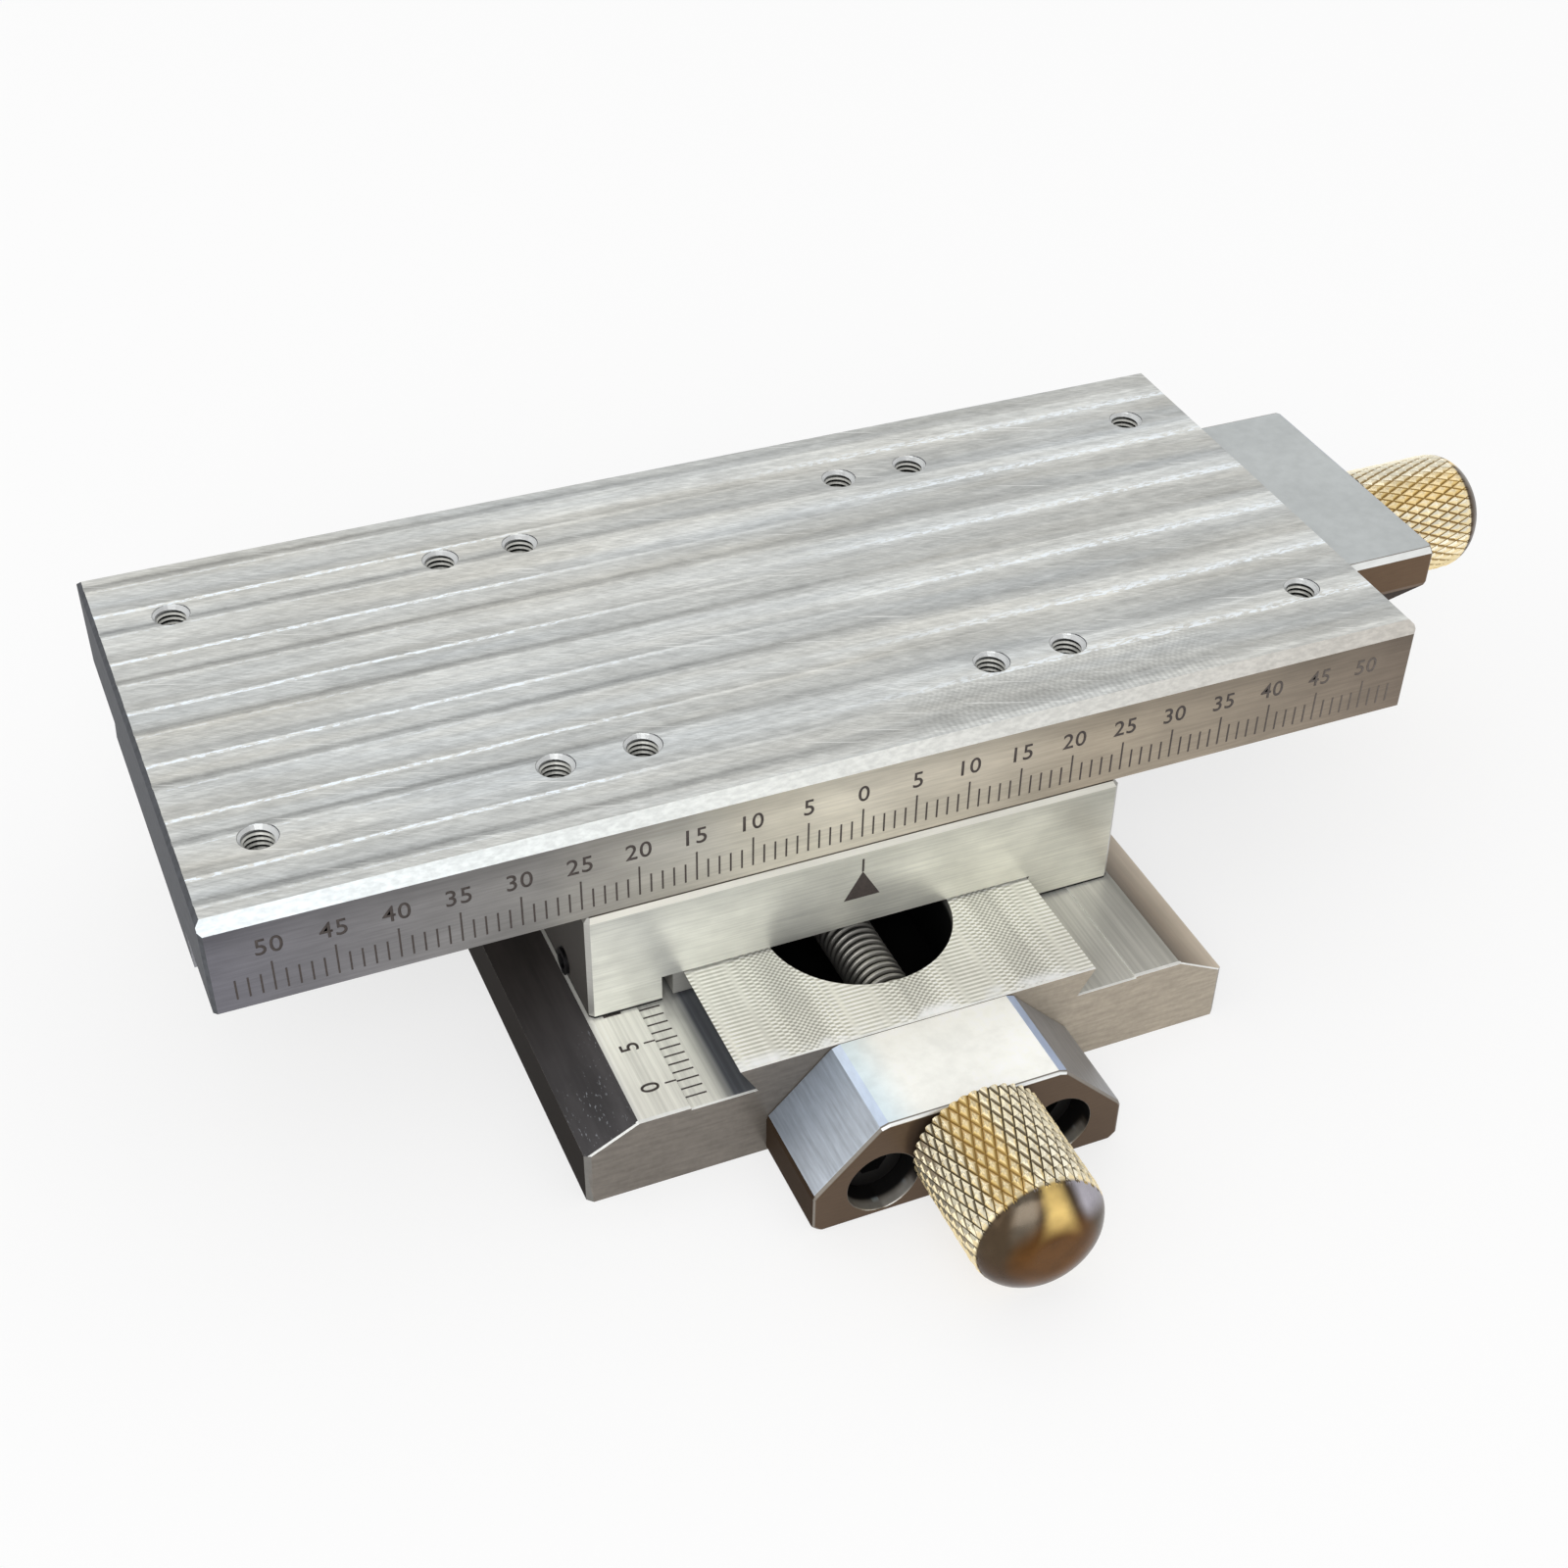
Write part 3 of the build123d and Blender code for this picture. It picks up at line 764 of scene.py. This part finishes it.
STRIPES_LEFT = (  # (share of a flute's pitch, brightness) of the flutes' painted highlights and shade near the table's left end
    (0.0, 0.50), (0.03, 0.54), (0.06, 0.78), (0.12, 0.88), (0.32, 0.87), (0.345, 1.12), (0.385, 1.12),
    (0.41, 0.74), (0.52, 0.76), (0.60, 0.92), (0.87, 0.93), (0.905, 1.05), (0.93, 0.92), (0.955, 0.60),
)
STRIPES_RIGHT = (  # and near its right end, where the light falls from the other side
    (0.0, 0.66), (0.18, 0.74), (0.34, 0.71), (0.50, 0.86), (0.55, 1.06), (0.64, 1.03), (0.76, 0.91),
    (0.84, 0.98), (0.87, 0.80), (0.95, 0.67),
)
TABLE_CUTTER = (FLUTE_START - 1.5, FLUTE_PITCH, 5.0, 0.55)  # a pass's middle, spacing, radius, feed


def table_top_colour(paint, x, y):
    """The milled top: flutes with painted highlight and shade lines, painted glints, cutter marks, grain
    and fine scratches.
    """
    shift = paint.math("ADD", paint.waver((0.03, 0.2, 0.2), 2.0, 0.2),
                       paint.waver((1.4, 0.6, 0.5), 5.0, 0.2, roughness=0.7))
    turn = paint.math("DIVIDE", paint.minus(paint.math("ADD", y, shift), FLUTE_START), FLUTE_PITCH)
    share = paint.math("FRACT", paint.math("ADD", turn, 8.0))
    side = paint.math("MULTIPLY_ADD", paint.noise((0.02, 0.06, 0.05), detail=3.0), 36.0, x)
    stripes = paint.mix(paint.step(side, -20.0, 44.0), paint.ramp(share, grey_stops(STRIPES_LEFT)),
                        paint.ramp(share, grey_stops(STRIPES_RIGHT)))
    tint = paint.mix(paint.noise((0.02, 0.25, 0.1), detail=2.0), (196, 203, 208), (212, 208, 196))
    colour = paint.mix(1.0, tint, stripes, blend="MULTIPLY")
    patch = paint.times(paint.step(x, 4.0, 12.0), paint.step(x, 38.0, 30.0), paint.step(y, -19.0, -20.5))
    marks = fade_marks(paint, cutter_arcs(paint, y, x, *TABLE_CUTTER), patch)
    for value, amount in (
        (paint.noise((0.05, 9.0, 1.0), detail=5.0), 0.09),
        (paint.noise((0.07, 0.3, 0.2), detail=5.0), 0.12),
        (paint.noise((0.6, 5.0, 1.0), detail=3.0, turn=0.5), 0.11),
        (paint.noise((0.5, 2.0, 1.0), detail=6.0, roughness=0.7), 0.15),
        (marks, 0.07),
    ):
        colour = paint.shade(colour, value, amount)
    glint = paint.step(paint.noise((1.2, 4.0, 1.0)), 0.46, 0.55)
    colour = paint.mix(paint.times(paint.step(stripes, 0.98, 1.1), glint), colour, (240, 248, 255))
    scratch = paint.step(paint.noise((0.12, 5.0, 1.0), detail=1.0, turn=0.35), 0.70, 0.73)
    return paint.mix(paint.times(scratch, 0.5), colour, (242, 243, 240))


def table_front_colour(paint, x, z):
    """The face with the scale: a painted reflection brightest in the middle, and painted shade under the
    top's edge.
    """
    colour = paint.colours(x, (
        (-55, (108, 107, 114)), (-28, (137, 135, 132)), (-4, (217, 211, 196)), (22, (165, 154, 137)),
        (55, (116, 104, 92)),
    ))
    colour = paint.shade(colour, paint.noise((0.25, 1.0, 5.0), detail=6.0), 0.10)
    colour = paint.shade(colour, paint.noise((0.15, 1.0, 0.3), detail=3.0), 0.10)
    return paint.scale(colour, paint.step(z, 24.0, 26.6, 1.02, 0.76))


HOLE_SIDE_INSET = 1.1  # no hole is nearer to the table's front or back
HOLE_END_INSET = 0.8  # nor to its ends
CREST_SEEN, ROOT_SEEN = 1.36, 1.47  # radii at which a thread has its painted highlight and its painted shade


def hole_distance(paint, x, y):
    """Distance from the nearest mount hole's axis."""
    nearest = None
    for spacing in HOLE_SPACINGS:
        off = paint.magnitude(paint.minus(paint.magnitude(x), spacing / 2))
        nearest = off if nearest is None else paint.math("MINIMUM", nearest, off)
    row = paint.minus(paint.magnitude(paint.minus(y, table_middle_y)), HOLE_ROWS / 2)
    squares = [paint.times(value, value) for value in (nearest, row)]
    return paint.math("SQRT", paint.math("ADD", *squares))


def threaded_holes(paint, colour, x, y, z):
    """Painted light and shade in the mount holes: bright crests and dark roots, more painted shade with
    depth, and a painted highlight on the mouth.
    """
    inside = paint.times(
        paint.within(z, table_high.z - HOLE_DEPTH + 0.1, table_high.z - 0.08),
        paint.within(y, table_low.y + HOLE_SIDE_INSET, table_high.y - HOLE_SIDE_INSET),
        paint.within(x, table_low.x + HOLE_END_INSET, table_high.x - HOLE_END_INSET),
    )
    crest = paint.step(hole_distance(paint, x, y), ROOT_SEEN, CREST_SEEN)
    thread = paint.mix(crest, (10, 10, 10), (214, 214, 208))
    thread = paint.scale(thread, paint.step(z, 24.0, 26.8, 0.06, 1.0))
    colour = paint.mix(inside, colour, thread)
    mouth = paint.times(inside, paint.step(z, 27.1, 27.3))
    return paint.mix(mouth, colour, (206, 208, 208))


def table_material():
    paint = Paint("aluminium_table", metallic=0.6)
    x, y, z = paint.places()
    # painted highlight along the front chamfer
    band = paint.colours(x, ((-55, (214, 221, 224)), (-10, (236, 238, 234)), (55, (208, 203, 195))))
    band = paint.shade(band, paint.noise((1.4, 3.0, 3.0)), 0.12)
    # painted shade on the left end face
    left_end = paint.shade((74, 76, 80), paint.noise((1.0, 1.2, 1.2), detail=5.0), 0.2)
    colour = paint.face((150, 151, 150), table_top_colour(paint, x, y), Z, 0.97, 0.99)
    colour = paint.face(colour, table_front_colour(paint, x, z), -Y)
    colour = paint.face(colour, band, Z - Y, 0.96, 0.99)
    colour = paint.dark_face(colour, left_end, -X, 0.45, 0.6)
    # painted shade on the right end face and the underside
    colour = paint.face(colour, (118, 114, 108), X, 0.9, 0.97)
    colour = paint.face(colour, (120, 116, 110), -Z)
    colour = threaded_holes(paint, colour, x, y, z)
    return paint.finish(colour, paint.wear(0.33, 0.05))


def saddle_material():
    """Bright front, with the dark opening of the base's channel mirrored above its foot as a painted
    reflection.
    """
    paint = Paint("aluminium_saddle", metallic=0.6)
    x, _, z = paint.places()
    front = paint.mix(paint.step(x, -24.0, 20.0), (224, 225, 218), (222, 221, 208))
    front = paint.shade(front, paint.noise((0.1, 1.0, 6.0), detail=5.0), 0.08)
    front = paint.shade(front, paint.noise((0.3, 1.0, 0.5), detail=5.0), 0.07)
    # painted shade under the table, darker towards the top
    front = paint.scale(front, paint.step(z, 18.6, 15.4, 0.84, 1.06))
    # painted reflection of the channel's dark opening, stronger to the left
    opening = paint.times(paint.step(z, 12.8, 8.2), paint.step(paint.magnitude(x), 11.5, 6.5))
    front = paint.dim(front, paint.times(opening, paint.step(x, 6.0, -5.0, 0.4, 1.0)), 0.4)
    # painted shade in the upper right corner
    right_corner = paint.times(paint.step(x, 14.0, 24.0), paint.step(z, 11.0, 16.0))
    front = paint.dim(front, right_corner, 0.68)
    colour = paint.face((176, 175, 170), front, -Y)
    # painted shade on the left side and on the top under the table
    colour = paint.dark_face(colour, (58, 54, 50), -X)
    colour = paint.face(colour, (116, 108, 98), Z, 0.9, 0.97)
    # painted highlight on the front chamfer
    colour = paint.face(colour, (222, 220, 210), Z - Y, 0.96, 0.99)
    # painted shadow line along the foot
    colour = paint.soot(colour, (20, 19, 18), paint.step(z, 8.0, 7.92))
    return satin(paint, colour, (0.2, 0.4, 5.0), 0.05, 0.33, 0.07, bump=0)


DOVETAIL_CUTTER = (-4.2, 10.2, 7.0, 0.48)  # as TABLE_CUTTER, over the dovetail's top


def base_top_colour(paint, x, y, z):
    """Flats with tool lines beside the dovetail, a painted highlight at the left flat's outer edge and
    painted shade next to the dovetail, and the cutter's arcs on the dovetail with painted glare near its
    front.
    """
    # painted highlight at the left flat's outer edge, painted shade next to the dovetail
    flat = paint.colours(x, (
        (-25.6, (248, 248, 244)), (-24.7, (242, 241, 232)), (-18.2, (222, 222, 214)),
        (-16.8, (98, 101, 107)), (16, (196, 195, 188)), (20.6, (206, 205, 198)), (25.6, (186, 185, 178)),
    ))
    flat = paint.shade(flat, paint.noise((2.6, 0.02, 0.1), detail=3.0), 0.16)
    arcs = cutter_arcs(paint, x, y, *DOVETAIL_CUTTER)
    off_centre = paint.magnitude(pass_share(paint, x, *DOVETAIL_CUTTER[:2]))
    arcs = fade_marks(paint, arcs, paint.step(off_centre, 0.12, 0.36, 0.35, 1.0))
    tip = paint.mix(paint.step(arcs, 0.2, 0.8), (176, 175, 163), (255, 255, 248))
    tip = paint.scale(tip, paint.step(off_centre, 0.30, 0.42, 1.12, 0.92))
    tip = paint.shade(tip, paint.noise((0.3, 0.05, 0.1), detail=2.0), 0.08)
    glare = paint.times(paint.step(y, -38.2, -39.6),
                        paint.step(paint.noise((0.25, 0.3, 0.1), detail=2.0), 0.45, 0.6))
    tip = paint.mix(glare, tip, (252, 254, 254))
    return paint.mix(paint.step(z, 8.5, 9.8), flat, tip)


def base_material():
    paint = Paint("aluminium_base", metallic=0.4, specular=0.12)
    x, y, z = paint.places()
    # painted reflection on the front face, darker to the left
    front = paint.mix(paint.step(x, -4.0, 12.0), (120, 114, 107), (167, 157, 142))
    front = paint.shade(front, paint.noise((0.35, 1.0, 2.4), detail=6.0), 0.14)
    # painted dark reflection on the left slope, a little lighter towards the front
    left_slope = paint.mix(paint.step(y, -14.0, -40.0), (46, 42, 40), (76, 74, 75))
    left_slope = paint.shade(left_slope, paint.noise((0.3, 0.05, 0.3)), 0.3)
    specks = paint.times(paint.step(paint.noise((4.0, 1.6, 4.0), detail=3.0), 0.62, 0.70),
                         paint.step(paint.noise((0.1, 0.1, 0.1), detail=1.0), 0.46, 0.62), 0.45)
    left_slope = paint.mix(specks, left_slope, (170, 174, 180))
    # painted shade along the right slope's inner edge, lighter outwards
    right_slope = paint.colours(x, ((25.3, (98, 86, 72)), (27.2, (150, 136, 118)), (30, (206, 192, 172))))
    colour = paint.face((120, 118, 114), base_top_colour(paint, x, y, z), Z, 0.97, 0.99)
    colour = paint.face(colour, front, -Y)
    colour = paint.dark_face(colour, left_slope, (-0.46, 0, 0.89), 0.96, 0.99)
    colour = paint.face(colour, right_slope, (0.46, 0, 0.89), 0.96, 0.99)
    # painted shade on the left side face
    left_side = paint.times(paint.step(x, -29.0, -29.4), paint.facing(-X))
    colour = paint.soot(colour, (26, 20, 15), left_side)
    # painted highlights on the front chamfer and along the top faces' front and back edges
    colour = paint.face(colour, (246, 246, 240), Z - Y, 0.85, 0.93)
    from_middle = paint.magnitude(y)
    strip_rim = paint.times(paint.step(from_middle, 39.6, 39.66), paint.within(z, 7.6, 8.6))
    rim = paint.math("MAXIMUM", paint.step(from_middle, 39.72, 39.78), strip_rim)
    colour = paint.mix(paint.times(rim, paint.facing(Z, 0.5, 0.7)), colour, (246, 247, 244))
    # painted shade in the channel
    channel = paint.times(paint.step(paint.magnitude(x), 8.9, 8.5), paint.step(z, 9.9, 9.0),
                          paint.within(y, -34.9, 34.9))
    colour = paint.soot(colour, (9, 8, 8), channel)
    # painted highlight along the right strip's step
    strip_edge = paint.times(paint.within(z, 7.46, 7.8), paint.facing(-X, 0.3, 0.6),
                             paint.within(x, 20.0, 22.0))
    colour = paint.mix(strip_edge, colour, (246, 246, 242))
    return satin(paint, colour, (2.0, 0.1, 2.0), 0.06, 0.34, 0.07)


HEAD_CLEARANCE = 0.42  # from a screw's head to its counterbore's wall


def block_material():
    """Both end blocks: the front one lies low, the right one high; their faces carry painted light, shade
    and reflections.
    """
    paint = Paint("aluminium_end_blocks", metallic=0.5, specular=0.12)
    x, y, z = paint.places()
    right_block = paint.step(z, 20.0, 22.0)
    # painted light: the front block's top bright, the right block's top darker
    low_top = paint.mix(paint.step(x, -8.0, -4.0), (224, 238, 243), (255, 255, 249))
    top = paint.mix(right_block, low_top, (178, 182, 182))
    # painted reflection on the front faces, dark brown
    front = paint.mix(right_block, (92, 76, 62), (104, 84, 66))
    colour = paint.face((132, 126, 118), top, Z, 0.985, 0.995)
    colour = paint.face(colour, front, -Y)
    lines = paint.noise((3.0, 0.15, 3.0), detail=5.0)
    # painted light and shade on the slopes, and painted highlights on the edges between slopes and top
    left_slope = paint.mix(paint.step(y, -49.5, -41.0), (204, 212, 222), (160, 170, 183))
    for side, slope, edge in (
        (-1, left_slope, (212, 226, 246)),
        (1, (146, 146, 148), (190, 204, 232)),
    ):
        colour = paint.face(colour, paint.shade(slope, lines, 0.16), (side * 0.74, 0, 0.67), 0.96, 0.99)
        colour = paint.face(colour, edge, (side * 0.405, 0, 0.914), 0.985, 0.995)
    # painted shade on the left faces and on the lower front slope
    colour = paint.dark_face(colour, (55, 42, 30), -X)
    colour = paint.dark_face(colour, (52, 40, 32), (0, -0.74, -0.67), 0.96, 0.99)
    # painted highlight on the front chamfer
    colour = paint.face(colour, (240, 242, 240), Z - Y, 0.9, 0.97)
    # counterbores: painted shade on the walls, painted light where they face up near the front
    lip = paint.times(paint.facing(Z, 0.1, 0.7), paint.step(y, -48.6, -49.4))
    for node, axis in (("y_block_screws", Y), ("x_block_screws", X)):
        low, high = box_mm(node)
        head = (high.z - low.z) / 2
        across = Z.cross(axis)
        reach = abs((high - low).dot(across)) / 2 - head
        for side in (-1, 1):
            distance = paint.around((low + high) / 2 + across * side * reach, axis)
            near = paint.step(distance, head + HEAD_CLEARANCE + 0.05, head + HEAD_CLEARANCE)
            colour = paint.mix(paint.times(near, lip), colour, (150, 147, 141))
            colour = paint.soot(colour, (10, 9, 9), paint.times(near, paint.minus(1.0, lip)))
    return satin(paint, colour, (0.8, 0.8, 6.0), 0.05, 0.32, 0.06, bump=0.08)


KNURL_DARK = 5.61  # radius of the painted shade line in the grooves
KNURL_WALL = 5.67  # radius up to which the walls away from the light are dark
DOME_SEEN = 2.75  # where the knurl has run out, from the dome's end


def knob_material(name, node, origin, axis, groove_shade):
    """Brass: cream facets with painted highlights, a golden stripe of darker painted reflection, dark
    grooves of painted shade and a dome with soft painted reflections.
    """
    paint = Paint(name, metallic=0.8, roughness=0.24)
    distance = paint.around(origin, axis)
    along = paint.along_line(origin, axis)
    tip = max((corner - origin).dot(axis) for corner in box_mm(node))
    edge = tip - KNOB_DOME_LENGTH
    side = axis.cross(Z)
    across, upward = paint.along_normal(side), paint.along_normal(Z)
    cloud = paint.noise((0.3, 0.3, 0.3), detail=3.0)
    place = paint.along_line(origin, side)
    # a stripe of darker, golden painted reflection; outside it the facets are cream
    golden = paint.times(paint.step(place, 0.4, 1.6), paint.step(place, 4.6, 3.4))
    grip = paint.mix(golden, (246, 226, 178), (232, 202, 134))
    grip = paint.shade(grip, cloud, 0.14)
    # painted highlight on the facets that face upwards
    lit = paint.times(paint.facing(side * 0.3 + Z * 0.8 - axis * 0.45, 0.45, 0.9),
                      paint.step(golden, 0.0, 1.0, 0.9, 0.45))
    grip = paint.mix(lit, grip, (255, 250, 230))
    # painted shade in the grooves and on the walls away from the light
    groove = paint.mix(golden, groove_shade, (160, 130, 70))
    line = paint.step(distance, KNURL_DARK + 0.04, KNURL_DARK)
    wall = paint.times(paint.step(paint.along_normal(axis), 0.06, 0.18),
                       paint.step(distance, KNURL_WALL + 0.08, KNURL_WALL),
                       paint.step(along, edge + 0.1, edge - 0.4, 0.0, 0.85))
    grip = paint.mix(paint.math("MAXIMUM", line, wall), grip, groove)
    # dome: painted reflections, dark below and amber at the end, with lighter patches and a golden streak
    dome = paint.mix(paint.step(upward, -0.4, 0.2), (66, 42, 18), (78, 64, 48))
    dome = paint.mix(paint.facing(axis, 0.80, 0.99), dome, (96, 62, 24))
    for colour, strength, *limits in (
        ((150, 144, 132), 0.25, (across, 0.60, 0.40), (across, 0.12, 0.28), (upward, 0.15, 0.5)),
        ((240, 206, 128), 0.85, (across, 0.18, 0.02), (across, -0.26, -0.08), (upward, 0.05, 0.5)),
        ((168, 164, 172), 1.0, (across, -0.24, -0.42), (upward, 0.2, 0.55)),
    ):
        patch = paint.times(*[paint.step(*limit) for limit in limits], strength)
        dome = paint.mix(patch, dome, colour)
    dome = paint.shade(dome, paint.noise((0.5, 0.5, 0.5)), 0.16)
    colour = paint.mix(paint.step(along, tip - DOME_SEEN, tip - DOME_SEEN + 0.35), grip, dome)
    return paint.finish(colour, paint.step(cloud, 0.3, 0.7, 0.18, 0.32))


def feed_screw_material(name, origin, axis):
    """Steel with dark thread roots, which are painted shade."""
    paint = Paint(name, metallic=0.92, roughness=0.3)
    crest = paint.step(paint.around(origin, axis), 2.06, 2.34)
    colour = paint.mix(crest, (40, 37, 34), (164, 162, 156))
    return satin(paint, colour, (2.0, 2.0, 2.0), 0.10, 0.42, 0.06)


def plain_metal(name, colour, metallic, roughness, lines):
    paint = Paint(name, metallic=metallic)
    return satin(paint, colour, lines, 0.08, roughness, 0.07)


def ink_material():
    """The marking of the scales, paler towards the table's right end."""
    paint = Paint("scale_marking", metallic=0.0, roughness=0.6)
    faded = paint.step(paint.places()[0], 30.0, 54.0)
    colour = paint.mix(faded, (66, 59, 56), (96, 88, 82))
    return paint.finish(paint.shade(colour, paint.noise((3.0, 3.0, 3.0), detail=3.0), 0.18))


table_paint = table_material()
ink = ink_material()
node_paints = {
    "base_plate": base_material(),
    "saddle": saddle_material(),
    "end_block": block_material(),
    "nut": plain_metal("brass_nuts", (198, 168, 104), 0.95, 0.32, (4.0, 4.0, 0.4)),
    "bush": plain_metal("bronze_bearings", (156, 116, 70), 0.95, 0.34, (2.0, 2.0, 2.0)),
    "thrust_washers": plain_metal("brass_washers", (176, 146, 92), 0.95, 0.32, (2.0, 2.0, 2.0)),
    "gib": plain_metal("steel_gibs", (196, 195, 189), 0.6, 0.34, (0.4, 0.4, 8.0)),
    "block_screws": plain_metal("steel_cap_screws", (30, 29, 29), 0.5, 0.42, (1.5, 1.5, 1.5)),
    "gib_screws": plain_metal("black_set_screws", (26, 25, 26), 0.6, 0.42, (2.0, 2.0, 2.0)),
}
node_paints["nut_screws"] = node_paints["block_screws"]
node_paints["knob_set_screw"] = node_paints["gib_screws"]

dress(table_top, "table", "milled_aluminium", table_paint, "table_plate")
for marks, body in (
    (table_scale, "table"), (table_digits, "table"), (base_scale, "base"), (base_digits, "base"),
    (saddle_index, "saddle"),
):
    dress(marks, body, "milled_aluminium", ink)
base_front = box_mm("base_plate")[0].y
for letter, axis, end_face, groove_shade in (
    ("y", -Y, base_front, (74, 60, 34)),
    ("x", X, table_high.x, (146, 116, 64)),
):
    drive, node, screw_node = f"{letter}_drive", f"{letter}_knob", f"{letter}_feed_screw"
    low, high = box_mm(screw_node)
    origin = (low + high) / 2
    origin["xyz".index(letter)] = end_face
    knob = knurled_knob(f"{node}_knurled", node, axis)
    brass = knob_material(f"brass_{node}", node, origin, axis, groove_shade)
    dress(knob, drive, "knob_brass", brass, node)
    screw = threaded_screw(f"{screw_node}_threaded", screw_node, axis, origin)
    steel = feed_screw_material(f"steel_{screw_node}", origin, axis)
    dress(screw, drive, "ground_steel", steel, screw_node)

EDGE_BREAKS = {"base_plate": 0.1, "saddle": 0.12, "end_block": 0.2}  # mm


def break_edges(node, width):
    """Small bright edge breaks along the sharp edges of a machined CAD node."""
    node.modifiers.new("weld", "WELD").merge_threshold = WELD
    bevel = node.modifiers.new("edge_break", "BEVEL")
    bevel.width = width * MM
    bevel.segments = 2
    bevel.limit_method = "ANGLE"
    bevel.angle_limit = math.radians(40)
    bevel.harden_normals = True


for node_name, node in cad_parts.items():
    kind = node_name[2:] if node_name[:2] in ("x_", "y_") else node_name
    if kind in node_paints:
        node.data.materials.clear()
        node.data.materials.append(node_paints[kind])
    if kind in EDGE_BREAKS:
        break_edges(node, EDGE_BREAKS[kind])


# Floor, light and background

FLOOR_HALF = 4000.0
FLOOR_COLOUR = (0.94, 0.94, 0.94, 1)
FLOOR_GLOW = 0.7  # share of plain white that the camera and reflections see in it


def add_floor():
    """A pale floor that the camera and reflections see nearly white, and that keeps the shadow."""
    corners = [(x * FLOOR_HALF, y * FLOOR_HALF, 0) for x, y in SQUARE]
    mesh = mesh_from("floor", corners, [(0, 1, 2, 3)])
    floor = add_object("floor", mesh)
    paint = Paint("floor")
    nodes = paint.tree.nodes
    nodes.remove(paint.bsdf)
    rays = paint.node("ShaderNodeLightPath").outputs
    seen = rays["Is Camera Ray"]
    for ray in ("Is Glossy Ray", "Is Transmission Ray"):
        seen = paint.math("MAXIMUM", seen, rays[ray])
    lit = paint.node("ShaderNodeBsdfDiffuse", [("Color", FLOOR_COLOUR)]).outputs[0]
    white = paint.node("ShaderNodeEmission").outputs[0]
    inputs = [(0, paint.times(seen, FLOOR_GLOW)), (1, lit), (2, white)]
    blend = paint.node("ShaderNodeMixShader", inputs).outputs[0]
    paint.put(blend, nodes["Material Output"].inputs["Surface"])
    mesh.materials.append(paint.material)


SKY = ((0.0, 1.0), (0.2, 1.0), (0.55, 0.70), (1.0, 0.60))  # (height, brightness)


def add_world():
    """A soft studio all round, brightest towards the horizon."""
    world = bpy.data.worlds.new("studio")
    bpy.context.scene.world = world
    world.use_nodes = True
    nodes, links = world.node_tree.nodes, world.node_tree.links
    background = nodes["Background"]
    coordinates = nodes.new("ShaderNodeTexCoord")
    height = nodes.new("ShaderNodeSeparateXYZ")
    ramp = nodes.new("ShaderNodeValToRGB")
    fill_ramp(ramp, grey_stops(SKY))
    links.new(coordinates.outputs["Generated"], height.inputs[0])
    links.new(height.outputs["Z"], ramp.inputs[0])
    links.new(ramp.outputs[0], background.inputs["Color"])


LAMP_TARGET = Vector((0, 0, 0.01))


def add_lamp(name, place, size, watts):
    data = bpy.data.lights.new(name, "AREA")
    data.shape = "SQUARE"
    data.size = size
    data.energy = watts
    lamp = bpy.data.objects.new(name, data)
    lamp.location = place
    lamp.rotation_euler = (LAMP_TARGET - Vector(place)).to_track_quat("-Z", "Y").to_euler()
    bpy.context.scene.collection.objects.link(lamp)


add_floor()
add_world()
add_lamp("window", (0.35, 0.80, 0.80), 1.2, 1.8)
add_lamp("front", (-0.35, -0.95, 0.70), 0.9, 5.6)
add_lamp("side", (-0.95, -0.10, 0.55), 0.8, 1.2)
